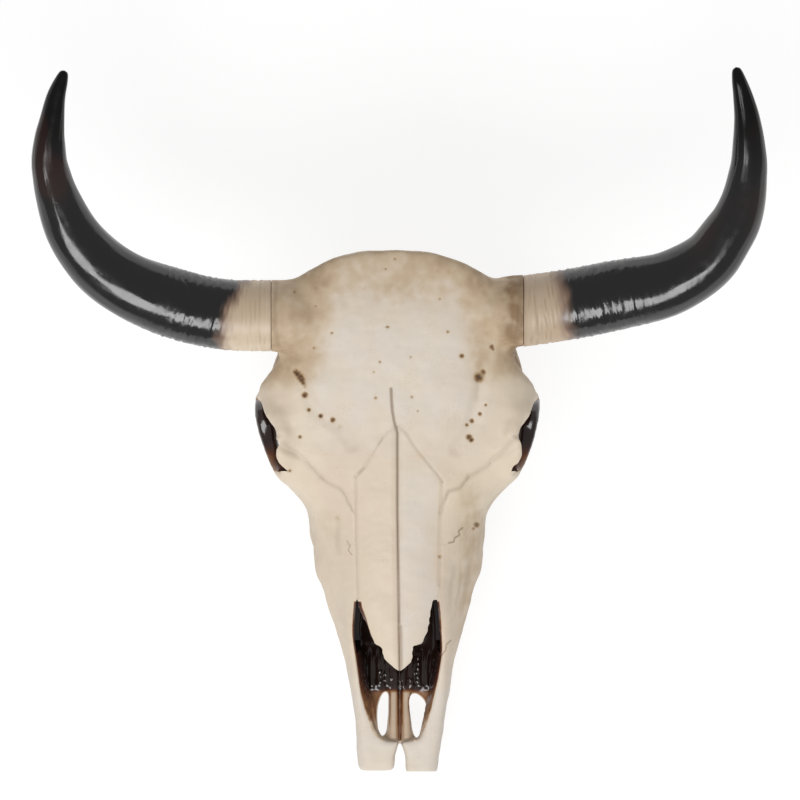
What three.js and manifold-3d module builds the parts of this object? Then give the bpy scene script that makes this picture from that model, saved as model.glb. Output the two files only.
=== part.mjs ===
// Cow skull without the lower jaw, life size, lying as it rests: on its cheek teeth and the two
// processes beside the occipital condyles. Millimetres, +Z up, nose towards -Y, poll towards +Y.
// "Left" is the animal's own left, which is +X. All lengths along the skull are measured from the
// tip of the nose, and the finished part is then centred over the origin.
import * as THREE from 'three';
import Module from 'manifold-3d';
import { LoftGeometry } from 'three/addons/geometries/LoftGeometry.js';
import { mergeVertices } from 'three/addons/utils/BufferGeometryUtils.js';

const wasm = await Module();
wasm.setup();

// ---------------------------------------------------------------- driving dimensions (mm)

const SKULL_LENGTH = 459; // nose tip to poll, seen from above
const SUTURE_GAP = 0.3; // clear width between two bones
const OUTSIDE = 170; // half width of a cutting block that reaches past the head
const ABOVE = 260; // height of a cutting block that reaches past the head
const ORBIT = { at: 297.5, out: 107, up: 116, radius: 36, tube: 6.2, height: 0.86 };
const NASAL_THICKNESS = 7;
const NASAL_DEPTH = 13; // how far the nasal bones reach down at their side edges
const CAVITY_END = 205; // the nasal cavity is hollow up to here
const APERTURE_START = 27; // where the two premaxillae join in front of the cavity
const MUZZLE_LEAN = profile([70, 2.3], [230, 0]); // the muzzle bends a little to the animal's left
const TOOTH_ROW = { start: 140, end: 276, root: 34 };
const TOOTH_LENGTHS = [17, 19, 20, 24, 27, 29];
const TOOTH_GAP = 1.2;
const FORAMEN_MAGNUM = { from: [0, 470, 85], to: [0, 405, 77], radius: 17, endRadius: 13.6 };
const HORN_BASE = { radius: 31.5, out: 110, up: 160, leftAt: 405, rightAt: 401 };
const HORN_COLLAR = { length: 36, radius: profile([0, 24], [0.6, 29.5], [0.85, 31.8], [1, 31.2]) };
const HORN_SEAT = { length: 50, play: 2 };
const HORN_RADIUS = profile([0, 31.3], [0.2, 31], [0.4, 28], [0.55, 24], [0.7, 18.2], [0.85, 12.2],
  [0.95, 7.5], [1, 2.2]);
const HORN_FLATNESS = 0.97;
const CAVITY_STATIONS = [APERTURE_START, 33, 50, 71, 96, 123, 152, 180, CAVITY_END];
const CONDYLE = { centre: [23, 438, 62], halves: [15, 14, 19] };
const EAR_BULLA = { centre: [38, 396, 50], halves: [10, 15, 17] };
const EAR_TUBE = { from: [64, 404, 92], to: [84, 412, 88], radius: 13, endRadius: 9 };
const NUCHAL_EDGE = { path: [[84, 424, 140], [90, 421, 112], [84, 421, 84], [66, 424, 66]], halves: [6, 8] };
const ARCH = {
  path: [[66, 222, 62], [80, 242, 74], [101, 266, 84], [110, 290, 84], [111, 318, 83], [107, 345, 88],
    [98, 372, 90], [87, 398, 86], [70, 416, 84]],
  halfWidth: 5.2,
  halfHeight: profile([0, 9], [0.3, 9.5], [0.6, 10.5], [0.85, 8], [1, 9]),
};
const SOCKET = { centre: [96, 292, 116], halves: [38, 27, 25] };
const INFRAORBITAL_HOLE = { from: [68, 156, 52], to: [48, 190, 58], radius: 5.5, endRadius: 4 };
const OPTIC_HOLE = { from: [66, 318, 108], to: [34, 352, 104], radius: 9, endRadius: 6 };
const CHOANAE = { start: 258, end: 300, halfWidth: 15, low: profile([258, 37], [300, 41.2]), high: 57 };
// Rings up the process beside each condyle: height, out, place, half width and half length.
const PARACONDYLAR = [[0, 46, 410, 4, 6], [8, 47, 411, 5, 8], [30, 52, 415, 6, 12],
  [52, 58, 420, 9, 14], [72, 62, 424, 14, 14]];
const OCTAGON = [[-1, -0.6], [-0.5, -1], [0.5, -1], [1, -0.6], [1, 0.6], [0.5, 1], [-0.5, 1], [-1, 0.6]];
// Rings up each pterygoid plate: height, out, front, back and half thickness.
const PTERYGOID = [[16, 21, 293, 298, 2], [30, 20, 285, 304, 2.2], [48, 19, 278, 315, 2.6],
  [64, 20, 276, 330, 3.4]];
const TOOTH_OUTER = profile([TOOTH_ROW.start, 52], [200, 64], [TOOTH_ROW.end, 62]);
const TOOTH_WIDTH = profile([TOOTH_ROW.start, 12], [200, 21], [TOOTH_ROW.end, 22]);
const TOOTH_CORNER = 3;
// Rings up each tooth: height and how far it is drawn in.
const TOOTH_RINGS = [[0, 1.2], [9, 0], [TOOTH_ROW.root, 2.4]];

/** Smooth curve through [place, value] pairs that never overshoots them, level beyond the ends. */
function profile(...keys) {
  const last = keys.length - 1;
  const rate = (i) => (keys[i + 1][1] - keys[i][1]) / (keys[i + 1][0] - keys[i][0]);
  const slope = (i) => {
    if (i === 0) return rate(0);
    if (i === last) return rate(last - 1);
    const before = rate(i - 1);
    const after = rate(i);
    return before * after <= 0 ? 0 : (2 * before * after) / (before + after);
  };
  return (place) => {
    const p = THREE.MathUtils.clamp(place, keys[0][0], keys[last][0]);
    let i = 0;
    while (i < last - 1 && p > keys[i + 1][0]) i += 1;
    const width = keys[i + 1][0] - keys[i][0];
    const t = (p - keys[i][0]) / width;
    const t2 = t * t;
    const t3 = t2 * t;
    return (2 * t3 - 3 * t2 + 1) * keys[i][1] + (t3 - 2 * t2 + t) * width * slope(i)
      + (3 * t2 - 2 * t3) * keys[i + 1][1] + (t3 - t2) * width * slope(i + 1);
  };
}

// The head's cross-section at each place is a ring through eight landmarks a side, top to bottom.
const LANDMARKS = {
  crown: {
    out: () => 0,
    up: profile([0, 46], [27, 62], [92, 100], [160, 119], [230, 137], [290, 152], [330, 166],
      [400, 185], [459, 193]),
  },
  brow: {
    out: profile([0, 22], [27, 27], [92, 33], [160, 38], [213, 42], [240, 52], [270, 68], [300, 80],
      [335, 92], [370, 82], [430, 74], [459, 60]),
    up: profile([0, 44], [27, 58], [92, 93], [152, 108], [213, 122], [262, 136], [300, 148], [335, 157],
      [400, 178], [459, 187]),
  },
  rim: {
    out: profile([0, 28], [27, 32], [92, 39], [152, 47], [213, 60], [240, 71], [262, 95], [288, 99],
      [322, 121], [336, 124], [362, 105], [400, 101], [435, 97], [459, 92]),
    up: profile([0, 41], [27, 50], [92, 78], [152, 92], [213, 105], [240, 113], [262, 124], [288, 142],
      [310, 143], [334, 124], [362, 144], [400, 158], [459, 166]),
  },
  under: {
    out: profile([0, 31], [27, 35], [92, 44], [152, 56], [200, 69], [240, 80], [264, 108], [284, 88],
      [330, 108], [345, 96], [400, 86], [459, 95]),
    up: profile([0, 38], [27, 45], [92, 62], [152, 75], [213, 84], [240, 95], [262, 107], [284, 127],
      [330, 114], [350, 130], [400, 138], [459, 145]),
  },
  wall: {
    out: profile([0, 33], [50, 40], [96, 48], [123, 55], [152, 65], [182, 75], [220, 75.5], [240, 84],
      [262, 104], [284, 50], [330, 47], [370, 55], [404, 62], [440, 88], [459, 90]),
    up: profile([0, 34], [50, 42], [152, 56], [213, 62], [262, 86], [290, 114], [340, 122], [400, 126],
      [459, 116]),
  },
  cheek: {
    out: profile([0, 32], [50, 38], [96, 46], [152, 58], [182, 66], [240, 70], [262, 72], [284, 46],
      [330, 43], [370, 57], [404, 68], [440, 90], [459, 84]),
    up: profile([0, 31], [96, 34], [182, 39], [240, 43], [262, 56], [290, 84], [340, 90], [459, 88]),
  },
  base: {
    out: profile([0, 27], [50, 31], [96, 37], [140, 48], [182, 57], [262, 60], [280, 44], [300, 26],
      [335, 28], [370, 42], [410, 50], [459, 38]),
    up: profile([0, 29], [96, 28], [140, 25], [182, 23], [262, 23], [280, 34], [298, 58], [335, 62],
      [400, 55], [430, 52], [459, 58]),
  },
  keel: {
    out: () => 0,
    up: profile([0, 30], [96, 31], [140, 32], [270, 34], [284, 46], [300, 60], [335, 59], [400, 47],
      [430, 43], [459, 52]),
  },
};
const STATIONS = [0, 8, 27, 50, 75, 96, 123, 152, 182, 213, 231, 246, 257, 264, 272, 284, 298, 314,
  330, 342, 360, 384, 408, 428, 444, SKULL_LENGTH];
const NUCHAL_LEAN = profile([395, 0], [459, 0.17]); // the back of the head slopes in under the poll
const NUCHAL_MIDDLE = 128; // height of the middle of the back of the head
const POLL_BOW = profile([0, 0], [32, 0.6], [45, 3.5], [65, 11], [84, 20], [105, 26]);
const POLL_BOW_SHARE = profile([405, 0], [459, 1]);
const POLL_SHIFT = 4; // the poll's highest stretch lies a little to the animal's right

// The nasal opening, half widths beside the midline and heights of its floor and side edges.
const apertureLeft = profile([27, 14], [33, 18.5], [45, 23.6], [67, 28.8], [86, 33], [110, 36.2],
  [135, 35.5], [152, 34]);
const apertureRight = profile([27, 15.5], [33, 22], [50, 28], [71, 33.4], [96, 36.4], [123, 39.8],
  [145, 38.3], [152, 37.4]);
const sideEdgeUp = profile([-10, 42], [27, 49], [71, 63], [96, 75], [123, 89], [152, 109]);
const betweenPremaxillae = profile([0, 6], [16, 5], [25, 1.5], [78, 0.9]);
const cavityFloor = profile([0, 41], [60, 40], [205, 42]);
const nasalHalfWidth = profile([89, 1], [91, 7.5], [98, 13], [110, 20.5], [129, 28.5], [152, 36],
  [260, 37], [276, 28], [290, 14], [304, 1]);

// The two slits through the front of the palate, one on each side of the midline.
const PALATE_SLITS = [
  {
    start: 30,
    end: 71.5,
    inner: profile([30, -15.9], [36, -18.5], [50, -20.3], [60, -19.8], [66, -17.6], [71.5, -13.3]),
    outer: profile([30, -13.7], [36, -11.5], [50, -10.2], [60, -9.8], [71.5, -10.4]),
  },
  {
    start: 28,
    end: 69,
    inner: profile([28, 13.9], [34, 11.3], [45, 9.5], [56, 8.2], [64, 7.8], [69, 9.1]),
    outer: profile([28, 17], [34, 19.2], [45, 22.3], [56, 23.6], [64, 21.8], [69, 14.5]),
  },
];

// Where the bones of the face and the roof of the skull meet.
const frontalHalfWidth = profile([228, 34], [249, 50], [260, 68], [275, 82], [287, 102], [292, 170]);
const frontalFloor = profile([228, 117], [287, 119], [336, 113], [362, 121], [400, 124], [440, 140],
  [470, 152]);
const lacrimalFloor = profile([200, 116], [215, 102], [240, 97], [262, 99], [290, 112]);
const lacrimalInside = profile([200, 30], [228, 30], [275, 62], [290, 70]);
const zygomaticInside = profile([222, 77], [236, 70], [262, 80], [284, 76]);
const PREMAXILLA_SUTURE = { low: 78, high: 132 };
const MAXILLA_BACK = 291;
const ZYGOMATIC = { start: 224, end: 366 };
const SOCKET_TOP = { start: 265, end: 326, low: 113 };
const socketEdge = profile([265, 98.5], [268, 100], [273, 104.5], [279, 106], [283, 105], [288.5, 99.5],
  [297, 110], [306, 117], [319, 122.3], [326, 125.5]);

const BONE = { color: 0xdccdb6, roughness: 0.55, metalness: 0 };
const HORN = { color: 0x242221, roughness: 0.25, metalness: 0 };

// ---------------------------------------------------------------- shape helpers

/** Turns a closed three.js geometry into a solid for cutting and joining. */
function solid(geometry) {
  const bare = new THREE.BufferGeometry();
  bare.setAttribute('position', geometry.getAttribute('position').clone());
  if (geometry.index) bare.setIndex(geometry.index.clone());
  const merged = mergeVertices(bare, 1e-4);
  const triVerts = [];
  const index = merged.index.array;
  for (let i = 0; i < index.length; i += 3) {
    const [a, b, c] = [index[i], index[i + 1], index[i + 2]];
    if (a !== b && b !== c && c !== a) triVerts.push(a, b, c);
  }
  return new wasm.Manifold(new wasm.Mesh({
    numProp: 3,
    vertProperties: new Float32Array(merged.getAttribute('position').array),
    triVerts: new Uint32Array(triVerts),
  }));
}

/** Solid through closed rings of [x, y, z] points, turned so that its faces look outwards. */
function loft(rings) {
  const sections = rings.map((ring) => ring.map(([x, y, z]) => new THREE.Vector3(x, y, z)));
  const [first, second] = sections;
  const facing = new THREE.Vector3();
  first.forEach((point, i) => facing.add(point.clone().cross(first[(i + 1) % first.length])));
  const middle = (ring) => {
    const sum = ring.reduce((total, point) => total.add(point), new THREE.Vector3());
    return sum.divideScalar(ring.length);
  };
  if (facing.dot(middle(second).sub(middle(first))) < 0) sections.forEach((ring) => ring.reverse());
  return solid(new LoftGeometry(sections, { closed: true, capStart: true, capEnd: true }));
}

/** Rings drawn on the left, moved to the side asked for. */
function onSide(side, rings) {
  return rings.map((ring) => mirrorPath(side, ring));
}

/** Block along the skull between two places, sides given as numbers or curves, grown by `gap` all round. */
function block(side, start, end, { inner, outer, low, high }, { step = 8, gap = 0 } = {}) {
  const value = (bound, place) => (typeof bound === 'function' ? bound(place) : bound);
  const count = Math.max(1, Math.ceil((end - start) / step));
  const rings = Array.from({ length: count + 1 }, (_, i) => {
    const place = start + ((end - start) * i) / count;
    const y = place + (i === 0 ? -gap : 0) + (i === count ? gap : 0);
    const [x0, x1] = [value(inner, place) - gap, value(outer, place) + gap];
    const [z0, z1] = [value(low, place) - gap, value(high, place) + gap];
    return [[x0, y, z1], [x1, y, z1], [x1, y, z0], [x0, y, z0]];
  });
  return loft(onSide(side, rings));
}

/** Rounded bar along a path of [x, y, z] points; `size` gives [half thickness, half height] along it. */
function bar(path, size, { sides = 8, steps = 10, up = [0, 0, 1] } = {}) {
  const curve = new THREE.CatmullRomCurve3(path.map((p) => new THREE.Vector3(...p)), false, 'centripetal');
  const upward = new THREE.Vector3(...up);
  const rings = Array.from({ length: steps + 1 }, (_, i) => {
    const t = i / steps;
    const centre = curve.getPoint(t);
    const along = curve.getTangent(t);
    const across = new THREE.Vector3().crossVectors(along, upward).normalize();
    const height = new THREE.Vector3().crossVectors(across, along);
    const [a, b] = size(t);
    return Array.from({ length: sides }, (_, k) => {
      const turn = (-2 * Math.PI * k) / sides;
      return centre.clone()
        .addScaledVector(across, a * Math.cos(turn))
        .addScaledVector(height, b * Math.sin(turn))
        .toArray();
    });
  });
  return loft(rings);
}

/** Moves a place on the left to the side asked for. */
function at(side, [x, y, z]) {
  return [side * x, y, z];
}

/** A path drawn on the left, moved to the side asked for. */
function mirrorPath(side, path) {
  return path.map((place) => at(side, place));
}

/** Egg shape with three half lengths. */
function egg(centre, halves, detail = 8) {
  const sphere = new THREE.SphereGeometry(1, detail, Math.ceil(detail * 0.7));
  return solid(sphere.scale(...halves).translate(...centre));
}

/** Round hole or peg between two points. */
function rod(from, to, radius, sides = 16, endRadius = radius) {
  const [a, b] = [new THREE.Vector3(...from), new THREE.Vector3(...to)];
  const along = b.clone().sub(a);
  const cylinder = new THREE.CylinderGeometry(endRadius, radius, along.length(), sides);
  cylinder.applyQuaternion(new THREE.Quaternion().setFromUnitVectors(new THREE.Vector3(0, 1, 0),
    along.clone().normalize()));
  return solid(cylinder.translate(...a.add(b).multiplyScalar(0.5).toArray()));
}

/** Round hole or peg on one side, given by a table of its ends and radii. */
function rodOn(side, { from, to, radius, endRadius }, sides) {
  return rod(at(side, from), at(side, to), radius, sides, endRadius);
}

// ---------------------------------------------------------------- the head

/** Ring of the head at one place; `share` under 1 draws it in towards the middle of the nuchal face. */
function headRing(place, share = 1) {
  const half = Object.values(LANDMARKS).map(({ out, up }) => [out(place), up(place)]);
  const other = half.slice(1, -1).reverse().map(([x, z]) => [-x, z]);
  const ring = [...half, ...other].map(([x, z]) => new THREE.Vector3(x, 0, z));
  const curve = new THREE.CatmullRomCurve3(ring, true, 'centripetal');
  const crown = LANDMARKS.crown.up(place);
  return Array.from({ length: ring.length * 2 }, (_, k) => {
    const point = curve.getPoint(k / (ring.length * 2));
    const x = point.x * share;
    const z = NUCHAL_MIDDLE + (point.z - NUCHAL_MIDDLE) * share;
    const lean = NUCHAL_LEAN(place) * Math.max(0, crown - z);
    const bow = POLL_BOW_SHARE(place) * POLL_BOW(Math.abs(x + POLL_SHIFT));
    return [x, place - lean - bow, z];
  });
}

function headForm() {
  const closing = [0.86, 0.6, 0.3].map((share) => headRing(SKULL_LENGTH, share));
  return loft([...STATIONS.map((place) => headRing(place)), ...closing]);
}

/** The hollow behind the nasal opening, arched like the nose above it. */
function nasalCavity() {
  const rings = [];
  for (const place of CAVITY_STATIONS) {
    const [left, right] = [apertureLeft(place), apertureRight(place)];
    const [low, top] = [cavityFloor(place), LANDMARKS.crown.up(place) - NASAL_THICKNESS];
    const shoulder = Math.max(low + 4, top - 17);
    rings.push([[0, place, top], [left * 0.6, place, top - 5], [left, place, shoulder],
      [left, place, low + 3], [left * 0.8, place, low], [-right * 0.8, place, low],
      [-right, place, low + 3], [-right, place, shoulder], [-right * 0.6, place, top - 5]]);
  }
  return loft(rings);
}

/** Everything above the side edges of the opening, which the nasal bones bridge. */
function apertureAbove() {
  return block(1, -12, 152, { inner: -120, outer: 120, low: sideEdgeUp, high: ABOVE }, { step: 20 });
}

function nasalTool(side, gap) {
  return block(side, 88, 304, {
    inner: SUTURE_GAP / 2,
    outer: nasalHalfWidth,
    low: (y) => LANDMARKS.crown.up(y) - NASAL_DEPTH,
    high: ABOVE,
  }, { step: 12, gap });
}

function orbitRing(side) {
  const torus = new THREE.TorusGeometry(ORBIT.radius, ORBIT.tube, 6, 20);
  torus.scale(ORBIT.height, 1, 1.15);
  const facing = new THREE.Vector3(0.93 * side, -0.27, 0.24).normalize();
  torus.applyQuaternion(new THREE.Quaternion().setFromUnitVectors(new THREE.Vector3(0, 0, 1), facing));
  return solid(torus.translate(side * ORBIT.out, ORBIT.at, ORBIT.up));
}

/** Everything over the outer part of the eye socket, which is open when seen from above. */
function socketAbove(side) {
  const { start, end, low } = SOCKET_TOP;
  return block(side, start, end, { inner: socketEdge, outer: OUTSIDE, low, high: ABOVE }, { step: 5 });
}

/** Arch from the cheek past the orbit to the root in front of the ear. */
function zygomaticArch(side) {
  return bar(mirrorPath(side, ARCH.path), (t) => [ARCH.halfWidth, ARCH.halfHeight(t)], { steps: 13 });
}

function toothRow(side) {
  const total = TOOTH_LENGTHS.reduce((sum, length) => sum + length, 0);
  const share = (TOOTH_ROW.end - TOOTH_ROW.start) / total;
  let teeth = null;
  let start = TOOTH_ROW.start;
  for (const length of TOOTH_LENGTHS) {
    const end = start + length * share - TOOTH_GAP;
    const ring = ([z, taper]) => {
      const [a, b] = [start + taper, end - taper];
      const place = (a + b) / 2;
      const [x1, x0] = [TOOTH_OUTER(place) - taper, TOOTH_OUTER(place) - TOOTH_WIDTH(place) + taper];
      const c = TOOTH_CORNER;
      return [[x0 + c, a, z], [x1 - c, a, z], [x1, a + c, z], [x1, b - c, z], [x1 - c, b, z], [x0 + c, b, z],
        [x0, b - c, z], [x0, a + c, z]];
    };
    const tooth = loft(onSide(side, TOOTH_RINGS.map(ring)));
    teeth = teeth ? teeth.add(tooth) : tooth;
    start = end + TOOTH_GAP;
  }
  return teeth;
}

/** Flat downward process beside each condyle; its end is one of the skull's resting places. */
function paracondylarProcess(side) {
  const ring = ([z, x, y, a, b]) => OCTAGON.map(([u, v]) => [x + u * a, y + v * b, z]);
  return loft(onSide(side, PARACONDYLAR.map(ring)));
}

function pterygoidPlate(side) {
  const ring = ([z, x, front, back, half]) => [
    [x - half, front, z], [x + half, front, z], [x + half, back, z], [x - half, back, z],
  ];
  return loft(onSide(side, PTERYGOID.map(ring)));
}

/** Condyle, ear region, processes and nuchal edge of one side. */
function rearParts(side) {
  return egg(at(side, CONDYLE.centre), CONDYLE.halves)
    .add(egg(at(side, EAR_BULLA.centre), EAR_BULLA.halves))
    .add(paracondylarProcess(side))
    .add(pterygoidPlate(side))
    .add(rodOn(side, EAR_TUBE, 12))
    .add(bar(mirrorPath(side, NUCHAL_EDGE.path), () => NUCHAL_EDGE.halves, { steps: 5, up: [0, 1, 0] }));
}

/** Bony stump that carries the horn. */
function hornCollar(side) {
  const { out, up } = HORN_BASE;
  const place = side > 0 ? HORN_BASE.leftAt : HORN_BASE.rightAt;
  const { length, radius } = HORN_COLLAR;
  const path = [[out - length, place, up - 2], [out - length / 2, place, up], [out, place, up]];
  return bar(mirrorPath(side, path), (t) => [radius(t), radius(t)], { sides: 18, steps: 5 });
}

/** Room for the horn outside its stump. */
function hornSeat(side) {
  const { out, up, radius } = HORN_BASE;
  const place = side > 0 ? HORN_BASE.leftAt : HORN_BASE.rightAt;
  const end = at(side, [out + HORN_SEAT.length, place, up]);
  return rod(at(side, [out, place, up]), end, radius + HORN_SEAT.play, 20);
}

function openings() {
  const { start, end, halfWidth, low, high } = CHOANAE;
  const choana = block(1, start, end, { inner: -halfWidth, outer: halfWidth, low, high });
  const magnum = rodOn(1, FORAMEN_MAGNUM, 14);
  let cut = choana.add(magnum);
  for (const side of [-1, 1]) {
    cut = cut
      .add(rodOn(side, INFRAORBITAL_HOLE, 8))
      .add(rodOn(side, OPTIC_HOLE, 8))
      .add(egg(at(side, SOCKET.centre), SOCKET.halves, 14));
  }
  for (const slit of PALATE_SLITS) {
    cut = cut.add(block(1, slit.start, slit.end, { ...slit, low: 0, high: 60 }, { step: 6 }));
  }
  const notch = block(1, -20, 78, {
    inner: (y) => -betweenPremaxillae(y),
    outer: betweenPremaxillae,
    low: 0,
    high: profile([24, 70], [36, 44]),
  }, { step: 7 });
  return cut.add(notch);
}

// ---------------------------------------------------------------- horns

/** One horn: places along its middle line as [out, along, up], thick at the base and round all along. */
function horn(side, path) {
  const curve = new THREE.CatmullRomCurve3(path.map(([x, y, z]) => new THREE.Vector3(side * x, y, z)), false,
    'centripetal');
  const [steps, sides] = [23, 12];
  const frame = new THREE.Vector3(0, 0, 1);
  const rings = Array.from({ length: steps + 1 }, (_, i) => {
    const t = i / steps;
    const along = i === 0 ? new THREE.Vector3(side, 0, 0) : curve.getTangentAt(t);
    const across = new THREE.Vector3().crossVectors(along, frame).normalize();
    const height = new THREE.Vector3().crossVectors(across, along);
    const r = HORN_RADIUS(t);
    return Array.from({ length: sides }, (_, k) => {
      const turn = (2 * Math.PI * k) / sides;
      return curve.getPointAt(t).addScaledVector(across, r * Math.cos(turn))
        .addScaledVector(height, r * HORN_FLATNESS * Math.sin(turn)).toArray();
    });
  });
  return loft(rings);
}

const HORN_PATHS = {
  horn_right: [[110.4, 401, 160], [138, 401, 159], [165, 404, 160], [191, 410.5, 162], [217, 419, 166],
    [243, 432, 172], [265, 449, 179], [285, 475, 188], [297, 503, 197], [302, 520, 202], [305, 538, 208],
    [304.5, 555, 214], [302, 573, 220], [299, 590, 226], [294, 606, 232], [291, 615, 236]],
  horn_left: [[110.4, 405, 160], [126, 407, 159], [151, 411, 160], [178, 416, 162], [204, 421, 165],
    [231, 427, 169], [256, 438, 175], [274, 451, 181], [288, 470, 188], [297, 485, 193], [303, 503, 198],
    [306, 520, 203], [308, 538, 209], [307.5, 555, 215], [306, 573, 221], [302.5, 592, 228], [299, 606, 234],
    [296, 618, 238]],
};

// ---------------------------------------------------------------- dividing the head into its bones

const pieces = {};

/** Gives the bone inside `tool` a name and leaves the rest of the head, less the gap, behind. */
function carve(rest, name, tool, grownTool) {
  pieces[name] = rest.intersect(tool);
  return rest.subtract(grownTool);
}

const outer = headForm();
const cavity = nasalCavity();
for (const [side, name] of [[1, 'nasal_left'], [-1, 'nasal_right']]) {
  pieces[name] = outer.intersect(nasalTool(side, 0)).subtract(cavity);
}

let head = outer;
for (const side of [-1, 1]) {
  head = head.subtract(nasalTool(side, SUTURE_GAP)).add(rearParts(side));
}
head = head.subtract(cavity).subtract(apertureAbove()).subtract(openings());
for (const side of [-1, 1]) {
  head = head.add(orbitRing(side)).add(zygomaticArch(side)).add(toothRow(side)).add(hornCollar(side))
    .subtract(hornSeat(side)).subtract(socketAbove(side));
}

const frontalTool = (gap) => block(1, 228, 500, {
  inner: (y) => -frontalHalfWidth(y) - 2 * gap,
  outer: frontalHalfWidth,
  low: frontalFloor,
  high: ABOVE,
}, { step: 15, gap });
head = carve(head, 'frontal', frontalTool(0), frontalTool(SUTURE_GAP));

for (const [side, end] of [[1, 'left'], [-1, 'right']]) {
  const snoutTool = (gap) => {
    const [low, high] = [PREMAXILLA_SUTURE.low + gap, PREMAXILLA_SUTURE.high + gap];
    const middle = SUTURE_GAP / 2 - gap;
    return loft(onSide(side, [
      [[middle, -30, 0], [middle, -30, 120], [150, -30, 120], [150, -30, 0]],
      [[middle, low, 0], [middle, high, 120], [150, high, 120], [150, low, 0]],
    ]));
  };
  head = carve(head, `premaxilla_${end}`, snoutTool(0), snoutTool(SUTURE_GAP));
}

for (const [side, end] of [[1, 'left'], [-1, 'right']]) {
  const lacrimalTool = (gap) => block(side, 200, 291, {
    inner: lacrimalInside, outer: OUTSIDE, low: lacrimalFloor, high: ABOVE,
  }, { step: 15, gap });
  head = carve(head, `lacrimal_${end}`, lacrimalTool(0), lacrimalTool(SUTURE_GAP));
  const zygomaticTool = (gap) => block(side, ZYGOMATIC.start, ZYGOMATIC.end, {
    inner: zygomaticInside, outer: OUTSIDE, low: 50, high: 200,
  }, { step: 14, gap });
  head = carve(head, `zygomatic_${end}`, zygomaticTool(0), zygomaticTool(SUTURE_GAP));
  const maxillaTool = (gap) => block(side, -30, MAXILLA_BACK, {
    inner: SUTURE_GAP / 2, outer: OUTSIDE, low: -10, high: ABOVE,
  }, { step: 400, gap });
  head = carve(head, `maxilla_${end}`, maxillaTool(0), maxillaTool(SUTURE_GAP));
}
pieces.braincase = head;
pieces.horn_left = horn(1, HORN_PATHS.horn_left);
pieces.horn_right = horn(-1, HORN_PATHS.horn_right);

// ---------------------------------------------------------------- the finished group

const group = new THREE.Group();
group.name = 'cow_skull';
for (const [name, piece] of Object.entries(pieces)) {
  const { vertProperties, triVerts } = piece.getMesh();
  const geometry = new THREE.BufferGeometry();
  const position = new THREE.BufferAttribute(new Float32Array(vertProperties), 3);
  for (let i = 0; i < position.count; i += 1) {
    const x = position.getX(i);
    position.setX(i, x + MUZZLE_LEAN(position.getY(i)));
  }
  geometry.setAttribute('position', position);
  geometry.setIndex(new THREE.BufferAttribute(new Uint32Array(triVerts), 1));
  const finish = name.startsWith('horn') ? HORN : BONE;
  const mesh = new THREE.Mesh(geometry, new THREE.MeshStandardMaterial(finish));
  mesh.name = name;
  group.add(mesh);
}
const bounds = new THREE.Box3().setFromObject(group);
const middle = bounds.getCenter(new THREE.Vector3());
for (const mesh of group.children) mesh.geometry.translate(-middle.x, -middle.y, -bounds.min.z);

export default group;
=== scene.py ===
"""Cow skull without its lower jaw: a life-size still model that lies on its cheek teeth.

Places in the tables are millimetres in skull terms: x out from the midline (the animal's
own left is positive), s along the skull from the tip of the nose, and z up from the
surface it rests on. SkullSpace turns them into the frame's metres.
"""

import logging
import math
from contextlib import contextmanager
from dataclasses import dataclass
from enum import Enum
from typing import Callable, ClassVar, Iterator, Optional, Sequence, Union

import bpy
import numpy as np
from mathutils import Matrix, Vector


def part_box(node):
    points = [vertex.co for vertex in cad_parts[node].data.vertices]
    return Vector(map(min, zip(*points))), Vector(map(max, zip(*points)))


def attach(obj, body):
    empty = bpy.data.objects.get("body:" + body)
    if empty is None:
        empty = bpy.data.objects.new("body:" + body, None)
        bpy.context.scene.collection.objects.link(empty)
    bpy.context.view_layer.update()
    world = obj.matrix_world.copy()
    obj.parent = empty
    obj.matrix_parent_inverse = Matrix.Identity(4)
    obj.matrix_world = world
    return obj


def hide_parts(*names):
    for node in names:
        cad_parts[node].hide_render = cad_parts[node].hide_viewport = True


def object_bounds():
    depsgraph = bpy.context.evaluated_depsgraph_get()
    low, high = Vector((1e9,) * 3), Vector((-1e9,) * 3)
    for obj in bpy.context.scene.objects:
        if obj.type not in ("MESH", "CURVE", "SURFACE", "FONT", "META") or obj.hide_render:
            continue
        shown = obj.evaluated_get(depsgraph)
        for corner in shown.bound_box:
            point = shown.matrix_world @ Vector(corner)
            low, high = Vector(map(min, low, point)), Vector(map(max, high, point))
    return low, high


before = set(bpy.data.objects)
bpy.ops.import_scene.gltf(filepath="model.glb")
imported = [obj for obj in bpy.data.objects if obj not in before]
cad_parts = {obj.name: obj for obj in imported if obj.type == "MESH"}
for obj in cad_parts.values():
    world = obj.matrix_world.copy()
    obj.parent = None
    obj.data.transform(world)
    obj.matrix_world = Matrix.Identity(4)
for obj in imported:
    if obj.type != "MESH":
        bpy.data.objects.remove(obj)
CAD_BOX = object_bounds()

LOG = logging.getLogger("cow_skull")
MM = 0.001
MERGE = 1e-6
Curve = Callable[[np.ndarray], np.ndarray]
Bound = Union[float, Curve]
Colour = tuple[float, float, float]
Stops = tuple[tuple[float, Colour], ...]


class Side(Enum):
    """The animal's own left and right, with the sign of x there."""

    LEFT = 1
    RIGHT = -1

    @property
    def word(self) -> str:
        """The side as it stands in the names of the nodes."""
        return self.name.lower()


class Layer(Enum):
    """What is painted on the pieces as point attributes, for their materials to read."""

    # Tan, with painted shade laid into it.
    AGE = "age"
    STAIN = "stain"
    VARNISH = "varnish"
    LINE = "line"
    # Painted shade in creases and sunk places.
    HOLLOW = "hollow"
    PALE = "pale"
    DARK = "dark"
    TINT = "tint"
    TIP = "tip"
    WORN = "worn"


# ------------------------------------------------------------------ curves and noise


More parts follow.
